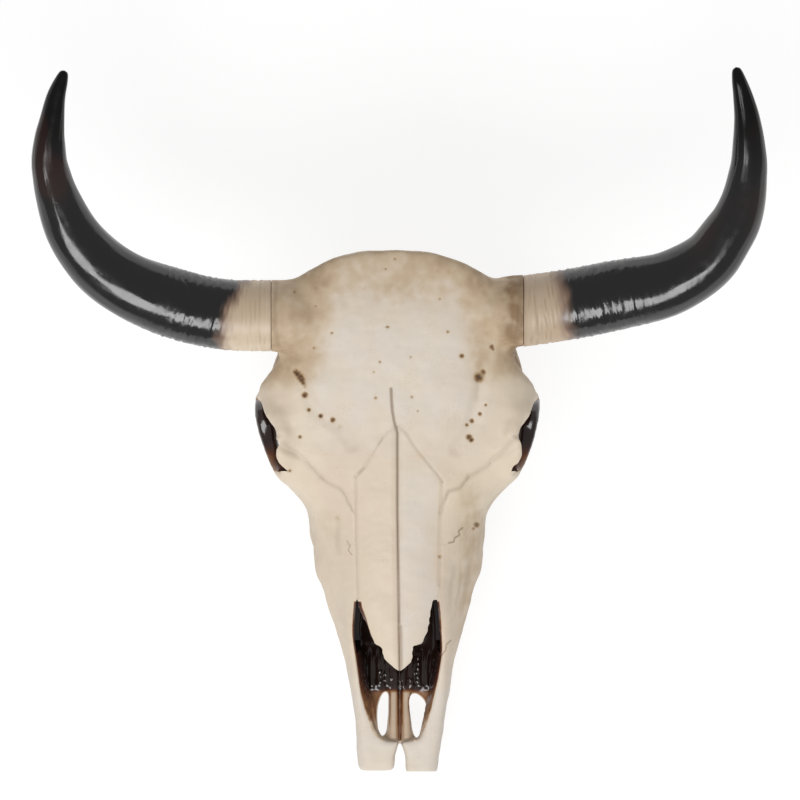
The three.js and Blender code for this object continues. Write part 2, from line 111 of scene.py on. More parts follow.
class Profile:
    """Smooth curve through [place, value] keys that never overshoots, level past its ends."""

    def __init__(self, *keys: tuple[float, float]) -> None:
        """Keeps the keys and works out the slope at each.

        Args:
            keys: pairs of place and value, in rising order of place.
        """
        self.at = np.array([k[0] for k in keys], dtype=float)
        self.value = np.array([k[1] for k in keys], dtype=float)
        rate = np.diff(self.value) / np.diff(self.at)
        slope = np.concatenate([rate[:1], np.zeros(len(keys) - 2), rate[-1:]])
        if len(keys) > 2:
            before, after = rate[:-1], rate[1:]
            same = before * after > 0
            total = np.where(same, before + after, 1.0)
            slope[1:-1] = np.where(same, 2 * before * after / total, 0.0)
        self.slope = slope

    def __call__(self, place: np.ndarray) -> np.ndarray:
        """The curve's value at each place.

        Args:
            place: one place or an array of them.

        Returns:
            The values, in the shape of place.
        """
        p = np.clip(np.asarray(place, dtype=float), self.at[0], self.at[-1])
        i = np.clip(np.searchsorted(self.at, p, side="right") - 1, 0, len(self.at) - 2)
        width = self.at[i + 1] - self.at[i]
        t = (p - self.at[i]) / width
        t2, t3 = t * t, t * t * t
        return (
            (2 * t3 - 3 * t2 + 1) * self.value[i]
            + (t3 - 2 * t2 + t) * width * self.slope[i]
            + (3 * t2 - 2 * t3) * self.value[i + 1]
            + (t3 - t2) * width * self.slope[i + 1]
        )


def ramp(value: np.ndarray, low: float, high: float) -> np.ndarray:
    """Smooth step from 0 at low to 1 at high.

    Args:
        value: what is stepped.
        low: where the step starts; above high, it falls instead of rising.
        high: where the step ends.

    Returns:
        The step, 0 to 1.
    """
    t = np.clip((value - low) / (high - low), 0.0, 1.0)
    return t * t * (3 - 2 * t)


def mound(reach: np.ndarray) -> np.ndarray:
    """Round hump: 1 where reach is 0, down to 0 where reach is 1 or more."""
    return np.clip(1 - reach**2, 0, 1) ** 2


def values_at(bound: Bound, place: np.ndarray) -> np.ndarray:
    """A bound's value at each place, be it a number or a curve."""
    return bound(place) if callable(bound) else np.full(place.shape, float(bound))


def mirrored(side: Side, low: Bound, high: Bound) -> tuple[Bound, Bound]:
    """A span of x that is given for the left side, or its mirror image on the right.

    Args:
        side: the side that the span is for.
        low: its lower x on the left side.
        high: its higher x on the left side.

    Returns:
        The lower and higher x on that side.
    """
    if side is Side.LEFT:
        return low, high

    def flipped(bound: Bound) -> Bound:
        """The bound with its sign turned."""
        return (lambda s: -bound(s)) if callable(bound) else -bound

    return flipped(high), flipped(low)


def ripple(points: np.ndarray, wavelength: float, seed: int, waves: int = 14) -> np.ndarray:
    """Band-limited noise that is the same each run.

    Args:
        points: places, one row each.
        wavelength: typical size of a bump, in the unit of points.
        seed: picks the pattern.
        waves: how many plane waves are summed.

    Returns:
        One value a point, mostly between -1 and 1.
    """
    rng = np.random.default_rng(seed)
    direction = rng.normal(size=(waves, points.shape[1]))
    direction /= np.linalg.norm(direction, axis=1)[:, None]
    pitch = 2 * math.pi / (wavelength * rng.uniform(0.7, 1.45, waves))
    phase = rng.uniform(0, 2 * math.pi, waves)
    total = np.sin(points @ (direction * pitch[:, None]).T + phase).sum(axis=1)
    return total / math.sqrt(waves) / 1.2


def wiggle(curve: Bound, size: float, wavelength: float, seed: int) -> Curve:
    """The curve with the small waves of a suture laid over it.

    Args:
        curve: a number or a curve.
        size: how far the waves swing, in mm.
        wavelength: their typical length, in mm.
        seed: picks the pattern.

    Returns:
        The wavy curve.
    """

    def waved(place: np.ndarray) -> np.ndarray:
        """The curve's value at each place, with its waves."""
        flat = np.atleast_1d(np.asarray(place, dtype=float))
        return values_at(curve, flat) + size * ripple(flat[:, None], wavelength, seed, 6)

    return waved


def distance_to_path(points: np.ndarray, path: np.ndarray) -> tuple[np.ndarray, np.ndarray]:
    """How far each point lies from an open path, in as many axes as the path has.

    Args:
        points: places, one row each.
        path: the path's corners, one row each.

    Returns:
        The distance, and the share of the path's corners passed at the nearest place.
    """
    best = np.full(len(points), np.inf)
    share = np.zeros(len(points))
    for i, (a, b) in enumerate(zip(path[:-1], path[1:])):
        along = b - a
        t = np.clip((points - a) @ along / max(along @ along, 1e-9), 0, 1)
        far = np.linalg.norm(points - a - t[:, None] * along, axis=1)
        nearer = far < best
        best = np.where(nearer, far, best)
        share = np.where(nearer, (i + t) / (len(path) - 1), share)
    return best, share


def averaged_line(rows: np.ndarray, steps: int = 60) -> np.ndarray:
    """Rows evened along their order.

    Args:
        rows: the rows; the first and the last stay.
        steps: how many times they are evened.

    Returns:
        The evened rows.
    """
    rows = rows.copy()
    for _ in range(steps):
        rows[1:-1] = (rows[:-2] + 2 * rows[1:-1] + rows[2:]) / 4
    return rows


# ------------------------------------------------------------------ where the skull is


@dataclass(frozen=True)
class SkullSpace:
    """Turns places on the skull into places in the frame and back."""

    midline: float
    nose: float
    lean: Profile = Profile((70, 2.3), (230, 0))

    @staticmethod
    def measured() -> "SkullSpace":
        """The space of the loaded frame, from the boxes of its nodes."""
        low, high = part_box("frontal")
        return SkullSpace((low[0] + high[0]) / 2 / MM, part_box("premaxilla_left")[0][1] / MM)

    def to_frame(self, places: np.ndarray) -> np.ndarray:
        """Skull millimetres to frame metres, with the muzzle's lean.

        Args:
            places: rows of x, s, z.

        Returns:
            Rows of frame x, y, z.
        """
        places = np.asarray(places, dtype=float)
        x = places[:, 0] + self.lean(places[:, 1]) + self.midline
        return np.stack([x, places[:, 1] + self.nose, places[:, 2]], axis=1) * MM

    def from_frame(self, points: np.ndarray) -> np.ndarray:
        """Frame metres to skull millimetres.

        Args:
            points: rows of frame x, y, z.

        Returns:
            Rows of x, s, z.
        """
        mm = points / MM
        s = mm[:, 1] - self.nose
        return np.stack([mm[:, 0] - self.midline - self.lean(s), s, mm[:, 2]], axis=1)


SPACE = SkullSpace.measured()


# ------------------------------------------------------------------ working on meshes


def select_none() -> None:
    """Leaves edit mode and selects nothing."""
    if bpy.context.object and bpy.context.object.mode != "OBJECT":
        bpy.ops.object.mode_set(mode="OBJECT")
    bpy.ops.object.select_all(action="DESELECT")


def select_only(*objects: bpy.types.Object) -> None:
    """Selects just these objects and makes the first one active.

    Args:
        objects: the objects.
    """
    select_none()
    for one in objects:
        one.select_set(True)
    bpy.context.view_layer.objects.active = objects[0]


@contextmanager
def editing(obj: bpy.types.Object) -> Iterator[None]:
    """Edit mode on one object, with all of it selected.

    Args:
        obj: the object to edit.

    Returns:
        What the with statement needs; object mode is back at its end.
    """
    select_only(obj)
    bpy.ops.object.mode_set(mode="EDIT")
    bpy.ops.mesh.select_all(action="SELECT")
    yield
    bpy.ops.object.mode_set(mode="OBJECT")


def smooth_shaded(obj: bpy.types.Object, degrees: float) -> None:
    """Shades an object smooth, but for edges that bend more than this."""
    select_only(obj)
    bpy.ops.object.shade_smooth_by_angle(angle=math.radians(degrees))


def rows_of(
    items: bpy.types.bpy_prop_collection, field: str, width: int = 3, kind: type = float
) -> np.ndarray:
    """One field of a mesh's items, as one row an item.

    Args:
        items: the vertices, edges or faces.
        field: the field, as Blender names it.
        width: how many numbers an item has.
        kind: the type of the numbers.

    Returns:
        The rows.
    """
    flat = np.empty(len(items) * width, dtype=kind)
    items.foreach_get(field, flat)
    return flat.reshape(-1, width)


def points_of(obj: bpy.types.Object) -> np.ndarray:
    """The object's vertices as rows, in the frame's metres."""
    return rows_of(obj.data.vertices, "co")


def normals_of(obj: bpy.types.Object) -> np.ndarray:
    """The outward direction at each vertex."""
    return rows_of(obj.data.vertex_normals, "vector")


def edges_of(obj: bpy.types.Object) -> np.ndarray:
    """The two vertices of each edge, as rows."""
    return rows_of(obj.data.edges, "vertices", 2, np.int64)


def move_points(obj: bpy.types.Object, points: np.ndarray) -> None:
    """Puts the object's vertices at these places."""
    obj.data.vertices.foreach_set("co", points.ravel())
    obj.data.update()


def paint_layers(obj: bpy.types.Object, layers: dict[Layer, np.ndarray]) -> None:
    """Writes painted layers on a piece, each held between 0 and 1.

    Args:
        obj: the piece.
        layers: a value for each vertex, by layer.
    """
    for layer, values in layers.items():
        made = obj.data.attributes.new(layer.value, "FLOAT", "POINT")
        made.data.foreach_set("value", np.clip(values, 0, 1).astype(np.float32))


def new_object(name: str, mesh: bpy.types.Mesh) -> bpy.types.Object:
    """An object of this mesh in the scene, at the origin.

    Args:
        name: its name.
        mesh: its mesh.

    Returns:
        The object.
    """
    made = bpy.data.objects.new(name, mesh)
    bpy.context.scene.collection.objects.link(made)
    return made


def discard(*objects: bpy.types.Object) -> None:
    """Removes helper objects and their meshes.

    Args:
        objects: the helpers.
    """
    for one in objects:
        mesh = one.data
        bpy.data.objects.remove(one)
        bpy.data.meshes.remove(mesh)


def apply_modifier(obj: bpy.types.Object, kind: str, **settings: object) -> None:
    """Adds one modifier with its settings and applies it.

    Args:
        obj: the object.
        kind: the modifier's type, as Blender names it.
        settings: its settings by name.
    """
    modifier = obj.modifiers.new(kind.title(), kind)
    for name, value in settings.items():
        setattr(modifier, name, value)
    select_only(obj)
    bpy.ops.object.modifier_apply(modifier=modifier.name)


def cut(obj: bpy.types.Object, tool: bpy.types.Object, operation: str = "DIFFERENCE") -> None:
    """Cuts one closed mesh with another.

    Args:
        obj: what is changed.
        tool: what it is changed with.
        operation: DIFFERENCE or INTERSECT.
    """
    apply_modifier(obj, "BOOLEAN", operation=operation, solver="MANIFOLD", object=tool)


def cut_away(obj: bpy.types.Object, tool: bpy.types.Object) -> None:
    """Takes a tool's shape out of an object and discards the tool."""
    cut(obj, tool)
    discard(tool)


def averaged(values: np.ndarray, edges: np.ndarray, steps: int, factor: np.ndarray) -> np.ndarray:
    """Values drawn towards the mean of their neighbours along the edges, again and again.

    Args:
        values: one row a vertex.
        edges: the vertex pairs.
        steps: how many times.
        factor: how far each vertex moves each time, 0 to 1.

    Returns:
        The evened values.
    """
    count = len(values)
    a, b = edges[:, 0], edges[:, 1]
    degree = np.maximum(np.bincount(edges.ravel(), minlength=count), 1)[:, None]
    factor = np.broadcast_to(factor, (count,))[:, None]
    for _ in range(steps):
        total = np.stack(
            [
                np.bincount(a, values[b, k], count) + np.bincount(b, values[a, k], count)
                for k in range(values.shape[1])
            ],
            axis=1,
        )
        values = values + factor * (total / degree - values)
    return values


def ring_tool(name: str, rings: Sequence[np.ndarray]) -> bpy.types.Object:
    """Closed solid through rings of skull places, each with the same count.

    Args:
        name: its name.
        rings: each ring as rows of x, s, z.

    Returns:
        The solid, with its faces outwards.
    """
    around, count = len(rings[0]), len(rings)
    faces = []
    for start in range(0, (count - 1) * around, around):
        for i in range(around):
            j = (i + 1) % around
            faces.append((start + i, start + j, start + around + j, start + around + i))
    faces.append(tuple(range(around))[::-1])
    faces.append(tuple((count - 1) * around + i for i in range(around)))
    mesh = bpy.data.meshes.new(name)
    mesh.from_pydata(SPACE.to_frame(np.concatenate(rings)).tolist(), [], faces)
    tool = new_object(name, mesh)
    with editing(tool):
        bpy.ops.mesh.normals_make_consistent(inside=False)
    return tool


def block_tool(
    name: str,
    span: tuple[float, float],
    across: tuple[Bound, Bound],
    upright: tuple[Bound, Bound],
    step: float = 1.0,
    gap: float = 0.0,
) -> bpy.types.Object:
    """Cutting block along the skull, its four sides given as numbers or curves of s.

    Args:
        name: its name.
        span: where it starts and ends along the skull.
        across: its lower and higher x.
        upright: its lower and higher z.
        step: spacing of its rings, in mm.
        gap: how much it is grown on every side, in mm.

    Returns:
        The tool.
    """
    count = max(2, math.ceil((span[1] - span[0]) / step) + 1)
    s = np.linspace(span[0], span[1], count)
    shown = s.copy()
    shown[0] -= gap
    shown[-1] += gap
    x0, x1 = values_at(across[0], s) - gap, values_at(across[1], s) + gap
    z0, z1 = values_at(upright[0], s) - gap, values_at(upright[1], s) + gap
    corners = ((x0, shown, z1), (x1, shown, z1), (x1, shown, z0), (x0, shown, z0))
    rings = np.stack([np.stack(corner, axis=1) for corner in corners], axis=1)
    return ring_tool(name, list(rings))


# ------------------------------------------------------------------ studio


@dataclass(frozen=True)
class Lamp:
    """One soft light: the way to it from the frame's origin, how far, its size and its power."""

    toward: tuple[float, float, float]
    distance: float
    size: tuple[float, float]
    power: float
    in_gloss: bool = True

    def build(self, name: str, aim: Vector) -> None:
        """Adds the light, turned to what it lights.

        Args:
            name: its name.
            aim: where it faces.
        """
        place = np.array(self.toward) / np.linalg.norm(self.toward) * self.distance
        bpy.ops.object.light_add(type="AREA", location=tuple(place))
        light = bpy.context.object
        light.name = name
        light.data.shape = "RECTANGLE"
        light.data.size, light.data.size_y = self.size
        light.data.energy = self.power
        light.rotation_euler = (aim - Vector(tuple(place))).to_track_quat("-Z", "Y").to_euler()
        light.visible_glossy = self.in_gloss


@dataclass(frozen=True)
class Studio:
    """Pale floor, soft lights and a camera that looks straight down from far off."""

    view_width: float = 0.7016
    aim: tuple[float, float] = (0.0005, 0.0176)
    aim_height: float = 0.15
    camera_height: float = 30.0
    sensor: float = 36.0
    sight: float = 100.0
    floor_size: float = 14.0
    floor_shade: float = 0.20
    floor_glow: float = 0.84
    sky: float = 0.35
    key: Lamp = Lamp((-0.16, -0.60, 0.78), 2.6, (2.0, 1.1), 48.0)
    rim: Lamp = Lamp((0.9, 1.9, 1.6), math.hypot(0.9, 1.9, 1.6), (1.4, 1.4), 10.0, in_gloss=False)

    def build(self) -> None:
        """Makes everything that isn't the skull."""
        self._camera()
        self._floor()
        middle = Vector((*self.aim, self.aim_height))
        self.key.build("key", middle)
        self.rim.build("rim", middle)
        self._sky()

    def _camera(self) -> None:
        """Adds the camera, with the nose down in the picture."""
        bpy.ops.object.camera_add(location=(*self.aim, self.camera_height))
        camera = bpy.context.object
        camera.data.sensor_width = self.sensor
        distance = self.camera_height - self.aim_height
        camera.data.lens = self.sensor * distance / self.view_width
        camera.data.clip_end = self.sight
        bpy.context.scene.camera = camera

    def _floor(self) -> None:
        """Adds the floor at the height of the resting teeth."""
        bpy.ops.object.select_all(action="DESELECT")
        bpy.ops.mesh.primitive_plane_add(size=self.floor_size)
        floor = bpy.context.object
        floor.name = "floor"
        paint, _, shader = new_paint("floor_paint")
        shader["Base Color"].default_value = (self.floor_shade,) * 3 + (1,)
        shader["Roughness"].default_value = 0.9
        shader["Specular IOR Level"].default_value = 0.0
        shader["Emission Color"].default_value = (1, 1, 1, 1)
        shader["Emission Strength"].default_value = self.floor_glow
        floor.data.materials.append(paint)

    def _sky(self) -> None:
        """Adds the even white sky."""
        world = bpy.data.worlds.new("studio")
        world.use_nodes = True
        background = world.node_tree.nodes["Background"].inputs
        background["Color"].default_value = (1, 1, 1, 1)
        background["Strength"].default_value = self.sky
        bpy.context.scene.world = world
        bpy.context.scene.view_settings.view_transform = "Standard"


# ------------------------------------------------------------------ relief drawn on the bone


@dataclass(frozen=True)
class Stroke:
    """A groove, or a ridge where depth is negative, along a path seen from above."""

    path: tuple[tuple[float, float], ...]
    width: float
    depth: float
    tint: float = 0.0
    taper: bool = False

    def reach(self, places: np.ndarray) -> np.ndarray:
        """How strongly the stroke acts at each place, 1 on its middle line.

        Args:
            places: rows of x, s, z.

        Returns:
            The strength, 0 to 1.
        """
        line = np.array(self.path)
        near = np.zeros(len(places))
        low, high = line.min(0) - self.width, line.max(0) + self.width
        flat = places[:, :2]
        inside = np.all((flat > low) & (flat < high), axis=1)
        far, share = distance_to_path(flat[inside], line)
        strength = mound(far / self.width)
        if self.taper:
            strength *= np.sqrt(np.clip(4 * share * (1 - share), 0, 1))
        near[inside] = strength
        return near


@dataclass(frozen=True)
class Spot:
    """A pit, or a bump where depth is negative, with a stain in it and a paler ring round it."""

    x: float
    s: float
    radius: float
    depth: float
    stain: float
    halo: float = 1.5

    def away(self, places: np.ndarray) -> np.ndarray:
        """How far each place lies from the spot, seen from above."""
        return np.hypot(places[:, 0] - self.x, places[:, 1] - self.s)

    def reach(self, places: np.ndarray, spread: float = 1.0) -> np.ndarray:
        """How strongly the spot acts at each place, 1 in its middle.

        Args:
            places: rows of x, s, z.
            spread: widens the spot.

        Returns:
            The strength, 0 to 1.
        """
        return np.exp(-((self.away(places) / (self.radius * spread)) ** 2))


# Strokes narrower than this are fine lines, pressed in once the mesh is finer there.
FINE_WIDTH = 3.2
# Spots this wide and wider are only soft stains, which need no finer mesh.
SOFT_RADIUS = 4.0
# Sutures, grooves and cracks: the path of each in x and s, then its other fields in order.
MIDLINE = ((-5.4, 337), (-5.1, 327), (-4.2, 317), (-2.9, 309), (-1.2, 303), (0, 298), (0, 190), (0, 88))
STROKES = (
    Stroke(MIDLINE, 2.0, 0.8, 0.75),
    Stroke(((0, 303), (0, 190), (0, 92)), 6.5, 0.9, 0.10),
    Stroke(((1.0, 128), (1.2, 92)), 3.0, 0.5, 0.5),
    Stroke(((0, 79), (0, 60), (0.2, 26)), 2.3, 1.8),
    Stroke(((-1, 303), (-6, 300), (-12.7, 295), (-18, 286), (-27.6, 270), (-36.4, 260)), 2.4, 0.35, 0.08),
    Stroke(((-12.0, 295), (-17.5, 287)), 1.6, 0.3, 0.25, True),
    Stroke(((-28, 269), (-35.5, 261)), 1.8, 0.4, 0.35, True),
    Stroke(((1, 303), (8, 298), (15.3, 286), (26.7, 272), (36, 261), (39.5, 256)), 2.4, 0.5, 0.14),
    Stroke(((-36.8, 260), (-37, 206), (-36, 153)), 2.8, 0.45, 0.10),
    Stroke(((39.4, 256), (37, 206), (36, 165)), 2.8, 0.5, 0.12),
    Stroke(((-102, 287), (-92, 281.5), (-83, 275), (-68, 260)), 4.4, 0.7, 0.16),
    Stroke(((-103, 291), (-97.8, 287), (-90.8, 281.5), (-84.6, 275)), 4.6, 1.2, 0.30, True),
    Stroke(((-68, 260), (-61, 254), (-50, 249), (-40, 231)), 3.4, 0.5, 0.18),
    Stroke(((103, 294), (95, 284.5), (78, 268), (63, 260)), 4.4, 0.9, 0.18),
    Stroke(((63, 260), (55, 250), (45, 247), (41, 239), (38, 228)), 3.4, 0.6, 0.28),
    Stroke(((-86.4, 352), (-80, 331), (-74, 321), (-66, 313), (-50, 303), (-40, 288)), 9.0, 1.5),
    Stroke(((78.5, 366), (74, 345), (70, 325), (64, 300), (52, 284)), 9.0, 1.6),
    Stroke(((72.4, 352), (71, 338), (69, 324)), 3.5, 0.5, 0.12, True),
    Stroke(((-44.7, 203.5), (-42.1, 199.1), (-43.9, 195.6), (-40.5, 191.2)), 0.9, 0.5, 0.45),
    Stroke(
        ((57.2, 214.9), (53.7, 212.2), (54.5, 208.7), (50.1, 206.1), (49.2, 202.6), (44.8, 201.7)),
        1.2, 0.6, 0.65,
    ),
    Stroke(((45.3, 115.8), (41.7, 112.3), (40.8, 107), (36.3, 102.6)), 1.2, 0.6, 0.55),
    Stroke(((-51, 224), (-53.5, 206), (-52, 190)), 4.2, 0.4, 0.17, True),
    Stroke(((50, 184), (46.5, 164), (44, 140)), 3.4, 0.2, 0.18, True),
    Stroke(((63, 194), (60, 168), (54, 142)), 4.6, 0.2, 0.20, True),
    Stroke(((56, 176), (53, 158), (50, 146)), 2.4, 0.2, 0.22, True),
    Stroke(((-10.5, 391), (-6.5, 391.3)), 0.9, 0.2, 0.5),
    Stroke(((-90, 353), (-88, 350.6), (-84.6, 346.4), (-82, 341.5)), 2.9, 0.8, 0.6),
    Stroke(((-106, 430), (-107.5, 412), (-107, 390), (-104, 376)), 3.4, 0.9, 0.34),
    Stroke(((106, 434), (107.5, 414), (107, 392), (103, 376)), 3.4, 0.9, 0.38),
)
# Small bony beads in the nose, in x and s.
BEADS = (
    (14.6, 79.5), (15.4, 83.5), (14.2, 87.0), (15.8, 91.0), (16.6, 95.5), (16.2, 100.0), (17.4, 104.5),
    (-16.6, 79.0), (-14.2, 80.5), (-16.0, 84.0), (-13.6, 85.6), (-16.8, 88.0), (8.5, 81.0), (-8.0, 82.0),
)
# Pits and stains, and the beads as bumps.
SPOTS = tuple(
    Spot(*row)
    for row in (
        (-89.0, 351.6, 2.0, 0.7, 1.0, 2.0), (-87.2, 349.6, 2.5, 0.7, 1.0, 2.2),
        (-85.2, 347.2, 2.8, 0.7, 1.0, 2.6), (-83.6, 344.6, 2.3, 0.6, 1.0, 2.2),
        (-82.6, 342.0, 1.6, 0.5, 0.8, 2.0), (-81.0, 339.0, 2.0, 0.4, 0.35), (-81.1, 331.5, 2.2, 1.2, 1.0),
        (-77.6, 318.4, 1.5, 0.9, 0.8), (-67.1, 313.1, 1.6, 1.0, 1.0), (-56.6, 309.6, 1.8, 1.0, 1.0),
        (-50.5, 303.5, 2.6, 0.2, 0.22), (-85.5, 294.7, 1.4, 0.7, 0.7), (-94.3, 264.9, 1.2, 0.9, 0.7),
        (56.6, 365.7, 1.8, 1.0, 0.9), (82.9, 373.6, 1.8, 1.0, 0.85), (84.0, 371.5, 1.2, 0.5, 0.7),
        (75.2, 351.5, 2.2, 0.9, 0.8), (71.6, 347.0, 3.6, 1.3, 0.95, 2.4), (77.6, 322.7, 1.2, 0.6, 0.6),
        (72.4, 314.8, 1.5, 0.8, 0.8), (65.3, 308.7, 1.6, 0.9, 0.95), (61.0, 305.2, 1.3, 0.7, 0.8),
        (63.0, 294.6, 2.1, 1.3, 0.95), (64.9, 292.2, 1.8, 1.1, 0.95), (-2.2, 450.8, 1.3, 0.4, 0.5),
        (-10.1, 442.0, 1.2, 0.4, 0.5), (-89.9, 421.8, 1.4, 0.5, 0.6), (-71.5, 409.6, 1.2, 0.4, 0.5),
        (-57.4, 385.9, 1.3, 0.4, 0.5), (-73.2, 372.7, 1.3, 0.5, 0.5), (-8.5, 391.0, 1.2, 0.5, 0.55),
        (44.3, 386.8, 1.3, 0.4, 0.5), (37.3, 415.7, 1.2, 0.4, 0.45), (-15.3, 360.4, 1.3, 0.5, 0.45),
        (-20.6, 351.7, 1.1, 0.4, 0.4), (-18.9, 328.9, 1.5, 0.5, 0.45), (11.8, 364.8, 1.1, 0.4, 0.4),
        (12.7, 329.8, 1.4, 0.4, 0.4), (18.0, 317.5, 1.2, 0.3, 0.35), (69.5, 217.5, 2.2, 0.5, 0.85, 2.4),
        (66.6, 214.0, 1.4, 0.3, 0.6), (-53.1, 223.6, 3.0, 0.3, 0.25), (36.7, 189.4, 1.5, 0.4, 0.55),
        (36.0, 439.6, 4.0, 0.1, 0.25), (44.3, 438.6, 4.0, 0.1, 0.28), (52.0, 439.4, 4.0, 0.1, 0.22),
        (-28.0, 446.0, 9.0, 0.0, 0.10), (-60.0, 430.0, 12.0, 0.0, 0.08), (-59.0, 226.0, 7.0, 0.0, 0.13),
        (-62.0, 213.0, 8.0, 0.0, 0.10), (47.0, 147.0, 7.0, 0.0, 0.08), (30.0, 400.0, 9.0, 0.0, 0.09),
        (70.0, 400.0, 13.0, 0.0, 0.10), (-78.0, 372.0, 11.0, 0.0, 0.10),
    )
) + tuple(Spot(x, s, 1.25, -0.9, 0.0) for x, s in BEADS)


# ------------------------------------------------------------------ materials


class Tree:
    """Short words for the nodes of one material or node group."""

    def __init__(self, tree: bpy.types.NodeTree) -> None:
        """Keeps the node tree to fill."""
        self.tree = tree

    def node(self, kind: str, inputs: Optional[dict] = None, **settings: object) -> bpy.types.Node:
        """Adds a node.

        Args:
            kind: its type, as Blender names it after ShaderNode.
            inputs: a number, colour or socket for each named or numbered input.
            settings: its other settings.

        Returns:
            The node.
        """
        made = self.tree.nodes.new("ShaderNode" + kind)
        for name, value in settings.items():
            setattr(made, name, value)
        for name, value in (inputs or {}).items():
            self.feed(made.inputs[name], value)
        return made

    def feed(self, socket: bpy.types.NodeSocket, value: object) -> None:
        """Links a socket to an input, or sets the input's own value.

        Args:
            socket: the input.
            value: a socket, number, colour or vector.
        """
        if isinstance(value, bpy.types.NodeSocket):
            self.tree.links.new(value, socket)
        elif isinstance(value, tuple) and socket.type == "RGBA" and len(value) == 3:
            socket.default_value = (*value, 1.0)
        else:
            socket.default_value = value

    def place(self) -> bpy.types.NodeSocket:
        """The object coordinates."""
        return self.node("TexCoord").outputs["Object"]

    def mask(self, layer: Layer) -> bpy.types.NodeSocket:
        """A painted layer of the piece."""
        return self.node("Attribute", attribute_name=layer.value).outputs["Fac"]

    def noise(self, vector: object, scale: object, detail: float, rough: float = 0.5) -> bpy.types.NodeSocket:
        """Cloudy noise around a half."""
        inputs = {"Vector": vector, "Scale": scale, "Detail": detail, "Roughness": rough}
        return self.node("TexNoise", inputs).outputs["Fac"]

    def step(self, value: object, low: float, high: float) -> bpy.types.NodeSocket:
        """Smooth step of a value from 0 at low to 1 at high."""
        inputs = {"Value": value, "From Min": low, "From Max": high}
        return self.node("MapRange", inputs, interpolation_type="SMOOTHSTEP").outputs["Result"]

    def math(self, operation: str, a: object, b: object) -> bpy.types.NodeSocket:
        """One sum on two values."""
        return self.node("Math", {0: a, 1: b}, operation=operation).outputs[0]

    def times(self, a: object, b: object) -> bpy.types.NodeSocket:
        """The product of two values."""
        return self.math("MULTIPLY", a, b)

    def blend(self, share: object, a: object, b: object) -> bpy.types.NodeSocket:
        """Colour a turning into colour b."""
        return self.node("Mix", {0: share, 6: a, 7: b}, data_type="RGBA").outputs[2]

    def between(self, share: object, a: object, b: object) -> bpy.types.NodeSocket:
        """Number a turning into number b."""
        return self.node("Mix", {0: share, 2: a, 3: b}, data_type="FLOAT").outputs[0]

    def bump(self, height: object, strength: float, distance: float) -> bpy.types.NodeSocket:
        """The normal over a fine relief."""
        inputs = {"Height": height, "Strength": strength, "Distance": distance}
        return self.node("Bump", inputs).outputs["Normal"]

    def scale_of(self, value: object, stops: Stops) -> bpy.types.NodeSocket:
        """Colours laid along a value.

        Args:
            value: what picks the colour.
            stops: places from 0 to 1 with their colours.

        Returns:
            The colour.
        """
        made = self.node("ValToRGB", {"Fac": value})
        band = made.color_ramp
        while len(band.elements) < len(stops):
            band.elements.new(0.5)
        for element, (place, colour) in zip(band.elements, stops):
            element.position = place
            element.color = (*colour, 1.0)
        return made.outputs["Color"]


class Effect:
    """A shader node group that several materials share."""

    def __init__(self, name: str, inputs: dict[str, float], outputs: Sequence[str]) -> None:
        """Makes the group and its sockets.

        Args:
            name: the group's name.
            inputs: its number inputs with their default values; Place is always there.
            outputs: names of its number outputs.
        """
        self.group = bpy.data.node_groups.new(name, "ShaderNodeTree")
        sockets = self.group.interface
        sockets.new_socket("Place", in_out="INPUT", socket_type="NodeSocketVector")
        for label, value in inputs.items():
            made = sockets.new_socket(label, in_out="INPUT", socket_type="NodeSocketFloat")
            made.default_value = value
        for label in outputs:
            sockets.new_socket(label, in_out="OUTPUT", socket_type="NodeSocketFloat")
        self.tree = Tree(self.group)
        self.source = self.group.nodes.new("NodeGroupInput").outputs
        self.result = self.group.nodes.new("NodeGroupOutput").inputs

    def put(self, tree: Tree, **inputs: object) -> dict[str, bpy.types.NodeSocket]:
        """Places the group in a material.

        Args:
            tree: the material's nodes.
            inputs: values by input name.

        Returns:
            The group's outputs by name.
        """
        made = tree.node("Group", node_tree=self.group)
        for name, value in inputs.items():
            tree.feed(made.inputs[name], value)
        return {socket.name: socket for socket in made.outputs}


def mottling() -> Effect:
    """Cloudy patches at two sizes, as dry bone has.

    Returns:
        The group, with the outputs Broad and Fine.
    """
    made = Effect("mottling", {"Broad": 14.0, "Fine": 90.0}, ["Broad", "Fine"])
    for name, detail, low, high in (("Broad", 4.0, 0.36, 0.64), ("Fine", 5.0, 0.32, 0.68)):
        noise = made.tree.noise(made.source["Place"], made.source[name], detail)
        made.tree.feed(made.result[name], made.tree.step(noise, low, high))
    return made


def grain() -> Effect:
    """Height of fine pores and of long shallow fibres.

    Returns:
        The group, with the outputs Height and Pore.
    """
    made = Effect("grain", {"Pores": 620.0, "Fibres": 130.0}, ["Height", "Pore"])
    tree, place = made.tree, made.source["Place"]
    pores = tree.node("TexVoronoi", {"Vector": place, "Scale": made.source["Pores"], "Randomness": 1.0})
    pit = tree.step(pores.outputs["Distance"], 0.12, 0.42)
    where = tree.step(tree.noise(place, 55.0, 2.0, 0.55), 0.45, 0.7)
    pore = tree.times(tree.math("SUBTRACT", 1.0, pit), where)
    along = tree.node("Mapping", {"Vector": place, "Scale": (1.0, 0.22, 1.0)}).outputs["Vector"]
    fibres = tree.noise(along, made.source["Fibres"], 5.0)
    tree.feed(made.result["Height"], tree.math("SUBTRACT", fibres, tree.times(pore, 0.6)))
    tree.feed(made.result["Pore"], pore)
    return made


def new_paint(name: str) -> tuple[bpy.types.Material, Tree, bpy.types.NodeInputs]:
    """A new material, with the words for its nodes and the inputs of its shader.

    Args:
        name: the material's name.

    Returns:
        The material, the words for its nodes and its shader's inputs.
    """
    made = bpy.data.materials.new(name)
    made.use_nodes = True
    return made, Tree(made.node_tree), made.node_tree.nodes["Principled BSDF"].inputs


